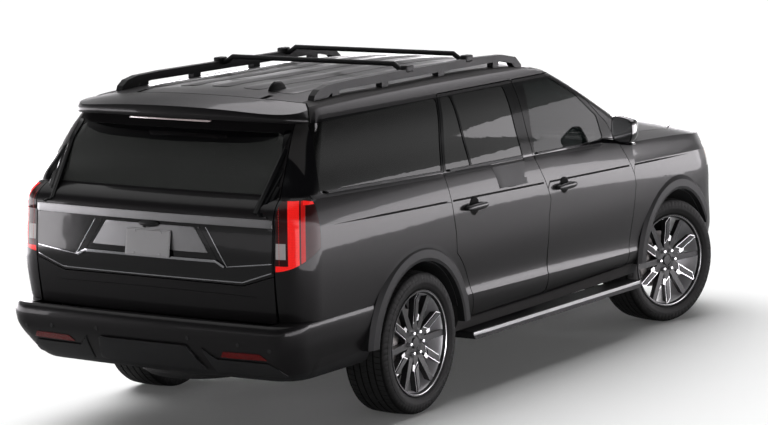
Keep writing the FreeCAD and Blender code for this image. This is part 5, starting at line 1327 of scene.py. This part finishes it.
def studio_light():
    """A dim room that is brighter near the horizon, under a broad soft light above and to the left."""
    world = Finish("studio_light", world=True)
    spot = world.node("ShaderNodeTexCoord").outputs["Generated"]
    height = Number(world, world.node("ShaderNodeSeparateXYZ", {}, {0: spot}).outputs[2])
    lean = world.node("ShaderNodeVectorMath", {"operation": "DOT_PRODUCT"}, {0: spot, 1: KEY_LIGHT})
    horizon = 1 - height.above(0.26, 0.22)
    overhead = Number(world, lean.outputs["Value"]).above(0.84, 0.08)
    world.feed("Color", (1, 1, 1, 1))
    world.feed("Strength", AMBIENT + HORIZON * horizon + OVERHEAD * overhead)
    return world


def light_wall(name, place, size, heading, radiance):
    """A sheet of light that shows in the paint and lights nothing else: upright with a heading, or else level."""
    lamp = bpy.data.lights.new(name, "AREA")
    lamp.color = (1.0, 0.965, 1.0)
    lamp.shape, lamp.size, lamp.size_y = "RECTANGLE", *size
    lamp.energy = radiance * math.pi * size[0] * size[1]
    holder = bpy.data.objects.new(name, lamp)
    bpy.context.scene.collection.objects.link(holder)
    facing = Matrix.Identity(4)
    if heading is not None:
        facing = Matrix.Rotation(math.radians(heading), 4, "Z") @ Matrix.Rotation(math.radians(90), 4, "X")
    holder.matrix_world = Matrix.Translation(place) @ facing
    holder.visible_camera = False
    holder.visible_diffuse = False
    holder.visible_transmission = False


def photo_camera():
    camera = bpy.data.objects.new("camera", bpy.data.cameras.new("camera"))
    bpy.context.scene.collection.objects.link(camera)
    camera.data.lens, camera.data.sensor_width = CAMERA_LENS, 36.0
    camera.data.clip_end = 400.0
    az, el, roll = (math.radians(a) for a in (CAMERA_AZIMUTH, CAMERA_ELEVATION, CAMERA_ROLL))
    back = Vector((math.sin(az) * math.cos(el), -math.cos(az) * math.cos(el), math.sin(el)))
    right = Vector((math.cos(az), math.sin(az), 0.0))
    up = back.cross(right)
    right, up = (math.cos(roll) * right + math.sin(roll) * up, math.cos(roll) * up - math.sin(roll) * right)
    turn = Matrix((right, up, back)).transposed().to_4x4()
    camera.matrix_world = Matrix.Translation(CAMERA_PLACE) @ turn
    return camera


class VehiclePanel(bpy.types.Panel):
    """Lists the steps that dress the vehicle"""

    bl_idname = "VIEW3D_PT_vehicle"
    bl_label = "Vehicle"
    bl_space_type = "VIEW_3D"
    bl_region_type = "UI"
    bl_category = "Vehicle"

    def draw(self, context):
        self.layout.prop(context.scene.vehicle_colors, "paint_color")
        self.layout.prop(context.scene.vehicle_stage, "floor_radius")
        for step in STEPS:
            self.layout.operator(step.bl_idname)


STEPS = (FinishSolids, DressTail, DressBumper, DressFlanks, DressWheels, DressCabin, DressRoof, DressMirrors, DressNose, BuildStage)
CLASSES = (VehicleColors, VehicleStage, *STEPS, VehiclePanel)


def register():
    for cls in CLASSES:
        bpy.utils.register_class(cls)
    bpy.types.Scene.vehicle_colors = bpy.props.PointerProperty(type=VehicleColors)
    bpy.types.Scene.vehicle_stage = bpy.props.PointerProperty(type=VehicleStage)


def unregister():
    del bpy.types.Scene.vehicle_stage
    del bpy.types.Scene.vehicle_colors
    for cls in reversed(CLASSES):
        bpy.utils.unregister_class(cls)


def main():
    register()
    for step in STEPS:
        group, name = step.bl_idname.split(".")
        getattr(getattr(bpy.ops, group), name)()


if __name__ == "__main__":
    main()
